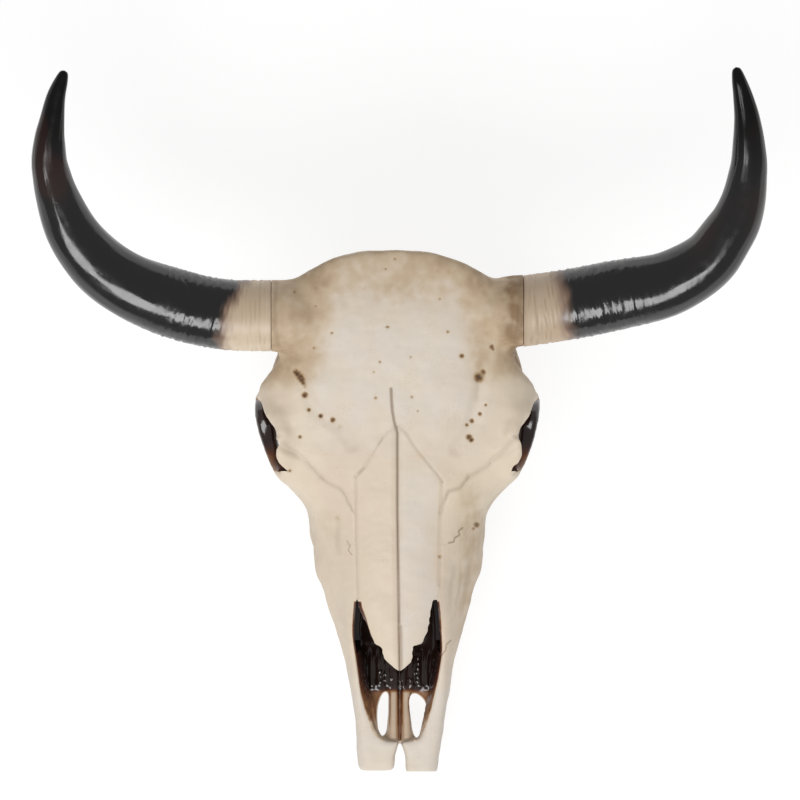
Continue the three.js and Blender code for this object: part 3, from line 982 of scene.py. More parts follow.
@dataclass(frozen=True)
class BoneFinish:
    """Cream bone with tan edges, brown stains, painted shade in its creases and on its less lit sides, and
    dark varnish in its cavities.
    """

    cream: Colour = (0.675, 0.580, 0.452)
    warm: Colour = (0.650, 0.540, 0.428)
    pale: Colour = (0.645, 0.582, 0.508)
    # Painted shade in creases and sunk places, and the brown of the pores.
    hollow: Colour = (0.44, 0.33, 0.21)
    line: Colour = (0.215, 0.145, 0.090)
    # Tan deepening to brown, which also carries the painted shade.
    aged: Stops = (
        (0.0, (0.60, 0.49, 0.36)),
        (0.45, (0.50, 0.38, 0.255)),
        (1.0, (0.27, 0.175, 0.095)),
    )
    soiled: Stops = (
        (0.0, (0.56, 0.45, 0.31)),
        (0.3, (0.43, 0.30, 0.17)),
        (0.65, (0.20, 0.115, 0.055)),
        (1.0, (0.075, 0.038, 0.02)),
    )
    lacquer: Stops = (
        (0.0, (0.47, 0.33, 0.20)),
        (0.25, (0.30, 0.145, 0.062)),
        (0.5, (0.105, 0.034, 0.014)),
        (0.75, (0.040, 0.014, 0.009)),
        (1.0, (0.015, 0.007, 0.005)),
    )
    pale_share: float = 0.8
    hollow_share: float = 0.7
    pore_share: float = 0.3
    matt: float = 0.52
    varnished: float = 0.20
    coat: float = 0.6
    coat_rough: float = 0.08
    specular: float = 0.35

    def build(self, patches: Effect, relief: Effect) -> bpy.types.Material:
        """Makes the material.

        Args:
            patches: the mottling group.
            relief: the grain group.

        Returns:
            The bone material.
        """
        made, tree, shader = new_paint("bone")
        place = tree.place()
        patch, fine = patches.put(tree, Place=place), relief.put(tree, Place=place)
        age = tree.times(tree.mask(Layer.AGE), tree.between(patch["Fine"], 0.8, 1.2))
        stain, varnish = tree.mask(Layer.STAIN), tree.mask(Layer.VARNISH)
        colour = tree.blend(patch["Broad"], self.cream, self.warm)
        for share, over in (
            (tree.times(tree.mask(Layer.PALE), self.pale_share), self.pale),
            # Tan, with painted shade laid in by its mask.
            (tree.step(age, 0.0, 0.4), tree.scale_of(age, self.aged)),
            # Painted shade in creases, then the pores in the same brown.
            (tree.times(tree.mask(Layer.HOLLOW), self.hollow_share), self.hollow),
            (tree.times(fine["Pore"], self.pore_share), self.hollow),
            (tree.mask(Layer.LINE), self.line),
            (tree.step(stain, 0.0, 0.45), tree.scale_of(stain, self.soiled)),
            (tree.step(varnish, 0.02, 0.25), tree.scale_of(varnish, self.lacquer)),
        ):
            colour = tree.blend(share, colour, over)
        wet = tree.step(varnish, 0.3, 0.8)
        dull = tree.between(patch["Fine"], self.matt - 0.05, self.matt + 0.08)
        height = tree.between(wet, fine["Height"], tree.noise(place, 120.0, 1.0, 0.55))
        tree.feed(shader["Base Color"], colour)
        tree.feed(shader["Roughness"], tree.between(tree.step(varnish, 0.2, 0.7), dull, self.varnished))
        tree.feed(shader["Coat Weight"], tree.times(wet, self.coat))
        tree.feed(shader["Coat Roughness"], self.coat_rough)
        tree.feed(shader["Specular IOR Level"], self.specular)
        tree.feed(shader["Normal"], tree.bump(height, 0.22, 0.0008))
        return made


@dataclass(frozen=True)
class HornFinish:
    """Cream ringed base that fades into glossy black."""

    cream: Colour = (0.655, 0.545, 0.41)
    tan: Colour = (0.53, 0.41, 0.285)
    brown: Colour = (0.20, 0.125, 0.085)
    black: Colour = (0.004, 0.0035, 0.0035)
    # Brown of the ring lines, also laid over as painted shade on the horn that gets less light.
    ring: Colour = (0.34, 0.23, 0.14)
    reddish: Colour = (0.05, 0.014, 0.009)
    base_rough: float = 0.48
    black_rough: tuple[float, float] = (0.13, 0.22)
    specular: tuple[float, float] = (0.72, 0.22)

    def build(self, patches: Effect, relief: Effect) -> bpy.types.Material:
        """Makes the material.

        Args:
            patches: the mottling group.
            relief: the grain group.

        Returns:
            The horn material.
        """
        made, tree, shader = new_paint("horn")
        place = tree.place()
        patch, fine = patches.put(tree, Place=place), relief.put(tree, Place=place, Fibres=240.0)
        dark = tree.mask(Layer.DARK)
        base = tree.blend(patch["Broad"], self.cream, self.tan)
        base = tree.blend(tree.mask(Layer.LINE), base, self.ring)
        black = tree.blend(tree.mask(Layer.TINT), self.black, self.reddish)
        colour = tree.blend(tree.step(dark, 0.0, 0.55), base, self.brown)
        gloss = tree.between(patch["Fine"], *self.black_rough)
        tree.feed(shader["Base Color"], tree.blend(tree.step(dark, 0.35, 0.95), colour, black))
        tree.feed(shader["Roughness"], tree.between(tree.step(dark, 0.2, 0.9), self.base_rough, gloss))
        tree.feed(shader["Specular IOR Level"], tree.between(tree.mask(Layer.TIP), *self.specular))
        tree.feed(shader["Normal"], tree.bump(fine["Height"], 0.16, 0.0006))
        return made


@dataclass(frozen=True)
class ToothFinish:
    """Ivory enamel, brown where the tooth is worn or grooved and at its neck."""

    enamel: Colour = (0.66, 0.585, 0.44)
    brown: Colour = (0.23, 0.135, 0.07)

    def build(self, patches: Effect) -> bpy.types.Material:
        """Makes the material.

        Args:
            patches: the mottling group.

        Returns:
            The tooth material.
        """
        made, tree, shader = new_paint("tooth")
        patch = patches.put(tree, Place=tree.place(), Fine=220.0)
        worn = tree.times(tree.mask(Layer.WORN), tree.between(patch["Fine"], 0.6, 1.1))
        colour = tree.blend(tree.times(patch["Broad"], 0.3), self.enamel, self.brown)
        tree.feed(shader["Base Color"], tree.blend(worn, colour, self.brown))
        tree.feed(shader["Roughness"], tree.between(worn, 0.28, 0.6))
        return made


# ------------------------------------------------------------------ the head


# Far enough out and up for a cutting block to leave the head.
OUTSIDE = 170.0
ABOVE = 260.0
# Where the horn stumps are cut off, and the stretch of brow that is cut to its outline.
STUMP_OFF = (110.3, 160.0)
BROW_SPAN = (264.5, 327.0)
# Landmarks: the floor of the nose, and the rim, middle and half sizes of the eye sockets.
NOSE_FLOOR = 41.0
SOCKET_RIM = (107, 297, 112)
SOCKET_MIDDLE = (96, 292, 116)
SOCKET_HALVES = (38, 27, 25)
# Raised crests on both sides: the path, how wide and how high.
CRESTS = (
    (((72, 200, 58), (79, 216, 60), (86, 236, 66), (100, 258, 80)), 9.0, 2.4),
    (((98, 262, 108), (100, 272, 117), (98, 280, 122)), 8.0, 2.2),
    (((5, 455, 168), (3, 452, 140), (2, 448, 112)), 8.0, 3.0),
    (((84, 448, 128), (60, 455, 150), (30, 458, 166), (2, 458, 172)), 7.0, 2.2),
)
# Heights along s of the middle of the face and of the edge of the nasal opening.
CROWN = Profile(
    (0, 46), (27, 62), (92, 100), (160, 119), (230, 137), (290, 152), (330, 166), (400, 185), (459, 193)
)
NOSE_EDGE = Profile((-10, 42), (27, 49), (71, 63), (96, 75), (123, 89), (152, 109))
# Half widths along s of the nasal opening, the brows and the nasal bones.
APERTURES = {
    Side.LEFT: Profile(
        (27, 14), (33, 18.5), (45, 23.6), (67, 28.8), (86, 33), (110, 36.2), (135, 35.5), (152, 34)
    ),
    Side.RIGHT: Profile(
        (27, 15.5), (33, 22), (50, 28), (71, 33.4), (96, 36.4), (123, 39.8), (145, 38.3), (152, 37.4)
    ),
}
BROW_EDGES = {
    Side.LEFT: Profile(
        (264.5, 100), (268.4, 101.5), (272, 106), (280, 109.2), (288.5, 108.6), (292, 107), (294.7, 106.2),
        (299, 107.5), (306, 111.5), (313, 116.2), (322, 122.3), (327, 126),
    ),
    Side.RIGHT: Profile(
        (264.5, 96), (268, 100), (273, 104.5), (279, 106.3), (283, 106), (286, 104.6), (288.5, 103.4),
        (292, 105.4), (297, 110), (306, 117), (319, 122.3), (327, 126.7),
    ),
}
NASAL_EDGES = {
    Side.LEFT: Profile(
        (89, 1.5), (91, 4.6), (94, 8.6), (99, 10.8), (110.5, 12.0), (113, 19.4), (118, 22), (124, 24.8),
        (149, 29.5), (157, 35), (162, 36), (256, 39.5), (261, 36), (272, 27), (286, 15.5), (298, 8), (304, 1),
    ),
    Side.RIGHT: Profile(
        (89, 1.5), (90.5, 6.4), (93, 9.8), (98, 12.7), (110.5, 16.4), (113, 21.5), (129, 28.5), (152, 36),
        (260, 37), (270, 28.5), (286, 17.8), (295, 12), (304, 1),
    ),
}
# Sutures along s, and the floor of what is cut loose over the nasal opening.
LOOSE_UNDER = Profile((80, 67), (104, 75), (116, 46), (152, 46))
FRONTAL_EDGES = {
    Side.LEFT: Profile(
        (232, 36), (239, 42), (247, 45), (250, 55), (260, 63), (268, 78), (282, 92), (292, 170)
    ),
    Side.RIGHT: Profile(
        (226, 36), (231, 40), (249, 50), (254, 61), (260, 68), (275, 82), (287, 102), (292, 170)
    ),
}
FRONTAL_FLOOR = Profile((228, 117), (287, 119), (336, 113), (362, 121), (400, 124), (440, 140), (470, 152))
LACRIMAL_FLOOR = Profile((200, 116), (215, 102), (240, 97), (262, 99), (290, 112))
LACRIMAL_INSIDE = Profile((200, 30), (228, 30), (275, 62), (290, 70))
ZYGOMATIC_INSIDE = Profile((222, 77), (236, 70), (262, 80), (284, 76))


def folded(places: np.ndarray) -> np.ndarray:
    """Places with x counted outwards on both sides."""
    return np.abs(places * [1, 0, 0]) + places * [0, 1, 1]


@dataclass
class Head:
    """The bones of the head, modelled as one form and then parted along their sutures."""

    voxel: float = 1.45
    swell: float = 0.25
    evening: int = 110
    gap: float = 0.08
    stump_radius: float = 31.2
    stump_depth: float = 40.0
    tooth_line: float = 23.5
    brow_under: float = 113.0
    nasal_depth: float = 13.0

    def build(self) -> dict[str, bpy.types.Object]:
        """Models the head and parts it.

        Returns:
            The bones by the name of the node that each stands for.
        """
        head = self._gather()
        self._even(head)
        self._sculpt(head)
        self._trim(head)
        return self._part(head)

    def _gather(self) -> bpy.types.Object:
        """Joins copies of the bones into one closed form without their teeth.

        Returns:
            The joined head.
        """
        copies = []
        for name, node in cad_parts.items():
            if name.startswith("horn"):
                continue
            copy = new_object(name + "_rough", node.data.copy())
            copy.data.materials.clear()
            copies.append(copy)
        copies += [self._stump(side) for side in Side]
        for copy in copies:
            with editing(copy):
                bpy.ops.mesh.remove_doubles(threshold=MERGE)
                bpy.ops.transform.shrink_fatten(value=self.swell * MM)
        select_only(*copies)
        bpy.ops.object.join()
        head = bpy.context.object
        head.name = "head"
        self._remesh(head)
        cut_away(head, block_tool("teeth_off", (130, 282), (-90, 90), (-20, self.tooth_line), 20))
        self._remesh(head)
        return head

    def _remesh(self, head: bpy.types.Object) -> None:
        """Turns what overlaps into one even skin."""
        apply_modifier(head, "REMESH", mode="VOXEL", voxel_size=self.voxel * MM)

    def _stump(self, side: Side) -> bpy.types.Object:
        """Cylinder that lengthens the bony stump of one horn, so that its end stays crisp when cut.

        Args:
            side: which side of the skull.

        Returns:
            The cylinder.
        """
        out, place, up = HORN_PATHS[side][0]
        middle = SPACE.to_frame(np.array([[side.value * out, place, up]]))[0]
        select_none()
        bpy.ops.mesh.primitive_cylinder_add(
            vertices=60,
            radius=self.stump_radius * MM,
            depth=self.stump_depth * MM,
            location=middle,
            rotation=(0, math.pi / 2, 0),
        )
        return bpy.context.object

    def _softness(self, places: np.ndarray) -> np.ndarray:
        """How far each place may be evened: broad faces fully, thin parts little.

        Args:
            places: rows of x, s, z.

        Returns:
            The share of the evening that each place takes, 0 to 1.
        """
        _, s, z = places.T
        socket = np.linalg.norm(folded(places) - SOCKET_RIM, axis=1)
        soft = 0.25 + 0.75 * ramp(s, 70, 135)
        soft *= 0.22 + 0.78 * ramp(socket, 38, 58)
        return soft * (1 - 0.7 * (1 - ramp(z, 95, 118)) * ramp(s, 255, 285))

    def _even(self, head: bpy.types.Object) -> None:
        """Smooths the facets away and puts back what that shrinks.

        Args:
            head: the joined head.
        """
        edges, points = edges_of(head), points_of(head)
        factor = 0.65 * self._softness(SPACE.from_frame(points))
        once = averaged(points, edges, self.evening, factor)
        lost = averaged(points - once, edges, self.evening, factor)
        move_points(head, averaged(once + lost, edges, 3, np.array(0.5)))

    def _sculpt(self, head: bpy.types.Object) -> None:
        """Models the relief that lies over the joined form, broad shapes before fine lines.

        Args:
            head: the joined head.
        """
        self._press(head, self._broad_relief)
        self._refine(head)
        self._press(head, self._fine_relief)
        places = SPACE.from_frame(points_of(head))
        x, s = places[:, 0], places[:, 1]
        places[:, 1] = s + (1 - ramp(s, 0, 24)) * (1.4 * ramp(-x, 0, 6) - 1.5 * ramp(x, 0, 6))
        places[:, 0] = x - 3.4 * (1 - ramp(s, 0, 55)) * ramp(-x, 4, 26)
        rim = ramp(s, 262, 270) * (1 - ramp(s, 289, 297)) * ramp(places[:, 2], 112, 124)
        rim *= ramp(np.abs(x), 84, 100)
        places[:, 0] += np.where(x > 0, 7.5, -5.2) * rim
        places[:, 1] = np.maximum(places[:, 1], 0.05)
        places[:, 2] = np.maximum(places[:, 2], 0.0)
        move_points(head, SPACE.to_frame(places))

    @staticmethod
    def _press(head: bpy.types.Object, relief: Callable[[np.ndarray, np.ndarray], np.ndarray]) -> None:
        """Moves the surface outwards by what the relief gives, in mm.

        Args:
            head: the joined head.
            relief: gives the height at places with these outward directions.
        """
        points, normals = points_of(head), normals_of(head)
        height = relief(SPACE.from_frame(points), normals)
        move_points(head, points + normals * height[:, None] * MM)

    @staticmethod
    def _refine(head: bpy.types.Object) -> None:
        """Makes the mesh finer under the narrow strokes and the pits.

        Args:
            head: the joined head.
        """
        faces = head.data.polygons
        places = SPACE.from_frame(rows_of(faces, "center"))
        chosen = np.zeros(len(faces), dtype=bool)
        for stroke in STROKES:
            if stroke.width < FINE_WIDTH:
                chosen |= Stroke(stroke.path, stroke.width + 1.2, 0).reach(places) > 0.02
        for spot in SPOTS:
            if spot.radius < SOFT_RADIUS:
                chosen |= spot.away(places) < spot.radius * 2.2
        chosen &= (rows_of(faces, "normal")[:, 2] > 0.1) & (places[:, 2] > CROWN(places[:, 1]) - 60)
        with editing(head):
            bpy.ops.mesh.select_mode(type="FACE")
            bpy.ops.mesh.select_all(action="DESELECT")
        head.data.polygons.foreach_set("select", chosen)
        bpy.ops.object.mode_set(mode="EDIT")
        bpy.ops.mesh.subdivide(number_cuts=2)
        bpy.ops.object.mode_set(mode="OBJECT")

    def _broad_relief(self, places: np.ndarray, normals: np.ndarray) -> np.ndarray:
        """Height of the broad shapes: swells, grooves, crests and the ridged floor of the nose.

        Args:
            places: rows of x, s, z.
            normals: the outward direction at each place.

        Returns:
            The height at each place, in mm.
        """
        x, s, z = places.T
        side = np.abs(x)
        height = 0.45 * ripple(places, 46, 5) + 0.18 * ripple(places, 19, 6) + 0.07 * ripple(places, 7, 7)
        top = ramp(normals[:, 2], 0.15, 0.5)
        for stroke in STROKES:
            if stroke.width >= FINE_WIDTH:
                height -= stroke.depth * stroke.reach(places) * top
        for path, width, rise in CRESTS:
            far, share = distance_to_path(folded(places), np.array(path, dtype=float))
            height += rise * mound(far / width) * np.sqrt(np.clip(5 * share * (1 - share), 0, 1))
        inside = self._in_nose(places)
        floor = inside * ramp(normals[:, 2], 0.3, 0.8) * (1 - ramp(z, 48, 56))
        behind = ramp(s, 71, 76)
        ridges = 1.9 * np.abs(np.sin(x / 2.2 + 0.4 * np.sin(s / 11))) + 0.8
        rods = 2.4 * np.clip(1 - ((side - 5.6) / 4.3) ** 2, 0, 1)
        height += floor * (behind * (1 - ramp(s, 96, 112)) * ridges + (1 - behind) * ramp(s, 25, 31) * rods)
        opening = self._opening(places)
        wall = inside * (1 - ramp(np.abs(normals[:, 2]), 0.5, 0.85)) * ramp(side, opening - 6, opening - 3)
        slope = np.where(x > 0, 3.4, 6.2) * (1 - 0.4 * ramp(s, 70, 120))
        return height + wall * slope * ramp(NOSE_EDGE(s) - z, 0.5, 15) * ramp(z, 41.5, 44)

    @staticmethod
    def _fine_relief(places: np.ndarray, normals: np.ndarray) -> np.ndarray:
        """Height of the narrow lines and pits.

        Args:
            places: rows of x, s, z.
            normals: the outward direction at each place.

        Returns:
            The height at each place, in mm.
        """
        top = ramp(normals[:, 2], 0.1, 0.35)
        height = np.zeros(len(places))
        for stroke in STROKES:
            if stroke.width < FINE_WIDTH:
                height -= stroke.depth * stroke.reach(places) * top
        for spot in SPOTS:
            height -= spot.depth * spot.reach(places) * top
        return height

    @staticmethod
    def _opening(places: np.ndarray) -> np.ndarray:
        """Half width of the nasal opening on the side that each place is on."""
        x, s, _ = places.T
        return np.where(x > 0, APERTURES[Side.LEFT](s), APERTURES[Side.RIGHT](s))

    def _in_nose(self, places: np.ndarray) -> np.ndarray:
        """1 inside the nasal cavity and on its walls, 0 outside.

        Args:
            places: rows of x, s, z.

        Returns:
            The strength at each place, 0 to 1.
        """
        x, s, z = places.T
        within = 1 - ramp(np.abs(x) - self._opening(places), 0.4, 1.9)
        within *= ramp(s, 25.5, 28) * (1 - ramp(s, 206, 208))
        return within * ramp(z, NOSE_FLOOR - 3.5, NOSE_FLOOR - 2) * (1 - ramp(z - CROWN(s), -7.6, -6.2))

    @staticmethod
    def _in_socket(places: np.ndarray) -> np.ndarray:
        """1 inside the eye sockets and on their walls, 0 outside."""
        egg = np.linalg.norm((folded(places) - SOCKET_MIDDLE) / SOCKET_HALVES, axis=1)
        return 1 - ramp(egg, 1.03, 1.10)

    def paint(self, bone: bpy.types.Object) -> None:
        """Paints the finished bone's layers.

        Args:
            bone: one bone of the head.
        """
        places, normals = SPACE.from_frame(points_of(bone)), normals_of(bone)
        top = ramp(normals[:, 2], 0.05, 0.3)
        varnish = self._varnish(places, normals)
        layers = {
            Layer.AGE: self._age(places, normals),
            Layer.STAIN: self._stain(places) * top,
            Layer.VARNISH: varnish,
            Layer.LINE: self._line(places) * top * (1 - ramp(varnish, 0.05, 0.2)),
            # Painted shade in creases and sunk places.
            Layer.HOLLOW: self._hollow(bone, normals),
            Layer.PALE: self._pale(places),
        }
        paint_layers(bone, layers)

    @staticmethod
    def _line(places: np.ndarray) -> np.ndarray:
        """How brown the cracks and sutures make each place.

        Args:
            places: rows of x, s, z.

        Returns:
            The strength at each place, 0 to 1.
        """
        line = np.zeros(len(places))
        for stroke in STROKES:
            line = np.maximum(line, stroke.tint * stroke.reach(places))
        return line

    @staticmethod
    def _stain(places: np.ndarray) -> np.ndarray:
        """How brown the spots make each place, with a faint ring round each.

        Args:
            places: rows of x, s, z.

        Returns:
            The strength at each place, 0 to 1.
        """
        stain = np.zeros(len(places))
        broken = 0.94 + 0.14 * ripple(places, 3.5, 30)
        for spot in SPOTS:
            core = spot.stain * spot.reach(places, 1.2) * broken
            halo = 0.16 * spot.stain * spot.reach(places, 1.6 * spot.halo)
            stain = np.maximum(stain, np.clip(np.maximum(core, halo), 0, 1))
        return stain

    @staticmethod
    def _age(places: np.ndarray, normals: np.ndarray) -> np.ndarray:
        """How tan each place is, with painted shade laid in: tan and painted shade at the poll and the brows,
        tan at the horn stumps, painted shade on the left cheek and temple and on faces turned down, and
        darker low on the sides of the face.

        Args:
            places: rows of x, s, z.
            normals: the outward direction at each place.

        Returns:
            The strength at each place, mostly 0 to 1.
        """
        x, s, z = places.T
        side = np.abs(x)
        # Tan and painted shade at the poll and the brows, and painted shade on the left temple.
        age = 0.40 * ramp(s, 375, 450) + 0.42 * ramp(side, 48, 78) * ramp(s, 330, 362)
        age += 0.09 * ramp(side, 82, 104) * ramp(s, 350, 380) + 0.48 * ramp(x, 86, 104) * ramp(s, 350, 378)
        # Painted shade on the left cheek, on the side away from the key light; a little tan on the right.
        cheek = ramp(side, 38, 62)
        age += 0.27 * cheek * (1 - 0.5 * ramp(x, 66, 78)) * (1 - ramp(s, 235, 280)) * (x > 0)
        age += 0.04 * cheek * (1 - ramp(s, 215, 262)) * (x <= 0)
        age -= 0.24 * ramp(side, 62, 86) * ramp(s, 398, 412) * (1 - ramp(s, 434, 446))
        age += 0.12 * np.exp(-(((x - 48) / 16) ** 2)) * ramp(s, 415, 440)
        # More tan and painted shade on the right brow.
        age += 0.20 * ramp(-x, 74, 98) * ramp(s, 328, 344) * (1 - ramp(s, 370, 386))
        # Painted shade on faces turned down, and darker low on the sides of the face.
        age += 0.16 * (1 - ramp(normals[:, 2], -0.5, 0.1)) + 0.18 * (1 - ramp(z, 60, 110)) * ramp(s, 150, 300)
        return age * (0.90 + 0.17 * ripple(places, 30, 31) + 0.08 * ripple(places, 9, 32))

    def _pale(self, places: np.ndarray) -> np.ndarray:
        """How grey and pale each place is: the forehead, the muzzle and the left nasal bone.

        Args:
            places: rows of x, s, z.

        Returns:
            The strength at each place, mostly 0 to 1.
        """
        x, s, _ = places.T
        pale = np.maximum(ramp(s, 262, 325) * (1 - ramp(np.abs(x), 56, 96)), 1 - ramp(s, 60, 110))
        pale = np.maximum(pale, ramp(x, 0, 2) * (1 - ramp(x, 33, 37)) * (1 - ramp(s, 250, 285)))
        return pale * (0.85 + 0.3 * ripple(places, 30, 34)) * (1 - self._in_nose(places))

    @staticmethod
    def _hollow(bone: bpy.types.Object, normals: np.ndarray) -> np.ndarray:
        """How much painted shade each place gets for being sunk below those round it.

        Args:
            bone: one bone of the head.
            normals: the outward direction at its vertices.

        Returns:
            The strength at each vertex, 0 to 1.
        """
        points, edges = points_of(bone), edges_of(bone)
        bend = np.einsum("ij,ij->i", averaged(points, edges, 2, np.array(0.5)) - points, normals) / MM
        return ramp(averaged(bend[:, None], edges, 2, np.array(0.6))[:, 0], 0.02, 0.22)

    def _varnish(self, places: np.ndarray, normals: np.ndarray) -> np.ndarray:
        """How dark and glossy each place is: rust at the rims, near black deep inside.

        Args:
            places: rows of x, s, z.
            normals: the outward direction at each place.

        Returns:
            The strength at each place, 0 to 1.
        """
        x, s, z = places.T
        side, upward = np.abs(x), normals[:, 2]
        depth = NOSE_EDGE(s) - z
        wall = 0.10 + 0.34 * ramp(s, 30, 62) + 0.50 * ramp(s, 60, 84)
        wall = wall * (0.72 + 0.28 * ramp(depth, 1, 12)) + 0.05 * ripple(places, 7, 33)
        wall -= 0.22 * ramp(-x, 10, 25) * ramp(s, 98, 125) * ramp(depth, 0, 9)
        floor = 0.12 * ramp(s, 24, 28) + 0.83 * ramp(s, 69, 75)
        floor += 0.55 * np.exp(-((x / 2.0) ** 2)) * ramp(s, 22, 32)
        floor += 0.22 * ramp(side, 9.0, 12.0) * ramp(s, 34, 66)
        low = ramp(upward, 0.4, 0.75) * (1 - ramp(z, 48, 56))
        nose = self._in_nose(places) * (wall + (floor - wall) * low)
        nose *= np.where((s > 150) & (z > 60), 1 - ramp(upward, -0.1, 0.2), 1.0)
        socket = self._in_socket(places) * (0.50 + 0.50 * ramp(s, 274, 294))
        socket *= np.where(z > 118, 1 - ramp(upward, 0.1, 0.4), 1.0)
        ledge = ramp(side, 88, 92) * ramp(s, 263, 267) * (1 - ramp(s, 325, 330)) * (1 - ramp(z, 113.8, 116))
        ledge *= ramp(upward, -0.1, 0.25) * ramp(z, 72, 82) * (0.42 + 0.55 * ramp(s, 276, 292))
        magnum = 0.75 * (1 - ramp(np.hypot(x, z - 81), 15.5, 18)) * ramp(s, 395, 410)
        return np.clip(np.maximum.reduce([nose, socket, ledge, magnum]), 0, 1)

    def _trim(self, head: bpy.types.Object) -> None:
        """Cuts the horn stumps flat and the edges of the brows to their outline.

        Args:
            head: the joined head.
        """
        for side in Side:
            off = mirrored(side, *STUMP_OFF)
            cut_away(head, block_tool("stump_end", (362, 446), off, (112, 210), 90))
            over = mirrored(side, BROW_EDGES[side], OUTSIDE)
            cut_away(head, block_tool("brow_tool", BROW_SPAN, over, (self.brow_under, ABOVE), 0.8))

    def _part(self, head: bpy.types.Object) -> dict[str, bpy.types.Object]:
        """Cuts the head into its bones along their sutures.

        Args:
            head: the whole head, which is left as the braincase.

        Returns:
            The bones by the name of the node that each stands for.
        """
        bones: dict[str, bpy.types.Object] = {}

        def take(name: str, tool: Callable[[float], bpy.types.Object]) -> None:
            """Moves what lies in the tool from the head into a bone of its own, with a gap between.

            Args:
                name: the node that the bone stands for.
                tool: makes the cutting solid, grown by what it is given.
            """
            close, grown = tool(0.0), tool(self.gap)
            bones[name] = new_object(name + "_bone", head.data.copy())
            cut(bones[name], close, "INTERSECT")
            cut(head, grown)
            discard(close, grown)

        for side in Side:
            take("nasal_" + side.word, lambda gap: self._nasal_tool(side, gap))
        opening = (lambda s: 0.3 - APERTURES[Side.RIGHT](s)), (lambda s: APERTURES[Side.LEFT](s) - 0.3)
        cut_away(head, block_tool("loose_tool", (80, 151.5), opening, (LOOSE_UNDER, ABOVE), 2))
        take("frontal", self._frontal_tool)
        for side in Side:
            take("premaxilla_" + side.word, lambda gap: self._snout_tool(side, gap))
        for side in Side:
            lacrimal_floor = wiggle(LACRIMAL_FLOOR, 0.6, 6, 20 + side.value)
            zygomatic_inside = wiggle(ZYGOMATIC_INSIDE, 0.6, 6, 25 + side.value)
            for name, span, inner, upright, step in (
                ("lacrimal", (200, 291), LACRIMAL_INSIDE, (lacrimal_floor, ABOVE), 1.0),
                ("zygomatic", (224, 366), zygomatic_inside, (50, 200), 1.0),
                ("maxilla", (-30, 291), self.gap / 2, (-10, ABOVE), 400),
            ):
                across = mirrored(side, inner, OUTSIDE)
                take(f"{name}_{side.word}", lambda gap: block_tool(name, span, across, upright, step, gap))
        bones["braincase"] = head
        head.name = "braincase_bone"
        return bones

    def _nasal_tool(self, side: Side, gap: float) -> bpy.types.Object:
        """Cutting solid for one nasal bone.

        Args:
            side: which side of the skull.
            gap: how much it is grown on every side, in mm.

        Returns:
            The solid.
        """
        edge = wiggle(NASAL_EDGES[side], 0.35, 7, 3 + side.value)
        across = mirrored(side, self.gap / 2 - 2 * gap, edge)
        upright = (lambda s: CROWN(s) - self.nasal_depth), ABOVE
        return block_tool("nasal_tool", (88, 304), across, upright, 1.0, gap)

    @staticmethod
    def _frontal_tool(gap: float) -> bpy.types.Object:
        """Cutting solid for the frontal bone, which widens towards the sockets.

        Args:
            gap: how much it is grown on every side, in mm.

        Returns:
            The solid.
        """
        right = wiggle(FRONTAL_EDGES[Side.RIGHT], 0.5, 8, 11)
        left = wiggle(FRONTAL_EDGES[Side.LEFT], 0.5, 8, 12)
        across = (lambda s: -right(s) - gap), (lambda s: left(s) + gap)
        return block_tool("frontal_tool", (227, 500), across, (FRONTAL_FLOOR, ABOVE), 1.0, gap)

    def _snout_tool(self, side: Side, gap: float) -> bpy.types.Object:
        """Cutting solid for one premaxilla: its back leans over the maxilla.

        Args:
            side: which side of the skull.
            gap: how much it is grown on every side, in mm.

        Returns:
            The solid.
        """
        near, far = (self.gap / 2 - gap) * side.value, 150 * side.value
        rings = []
        for low, high in ((-30, -30), (78 + gap, 132 + gap)):
            ring = [[near, low, -5], [near, high, 125], [far, high, 125], [far, low, -5]]
            rings.append(np.array(ring, dtype=float))
        return ring_tool("snout_tool", rings)


# ------------------------------------------------------------------ the cheek teeth


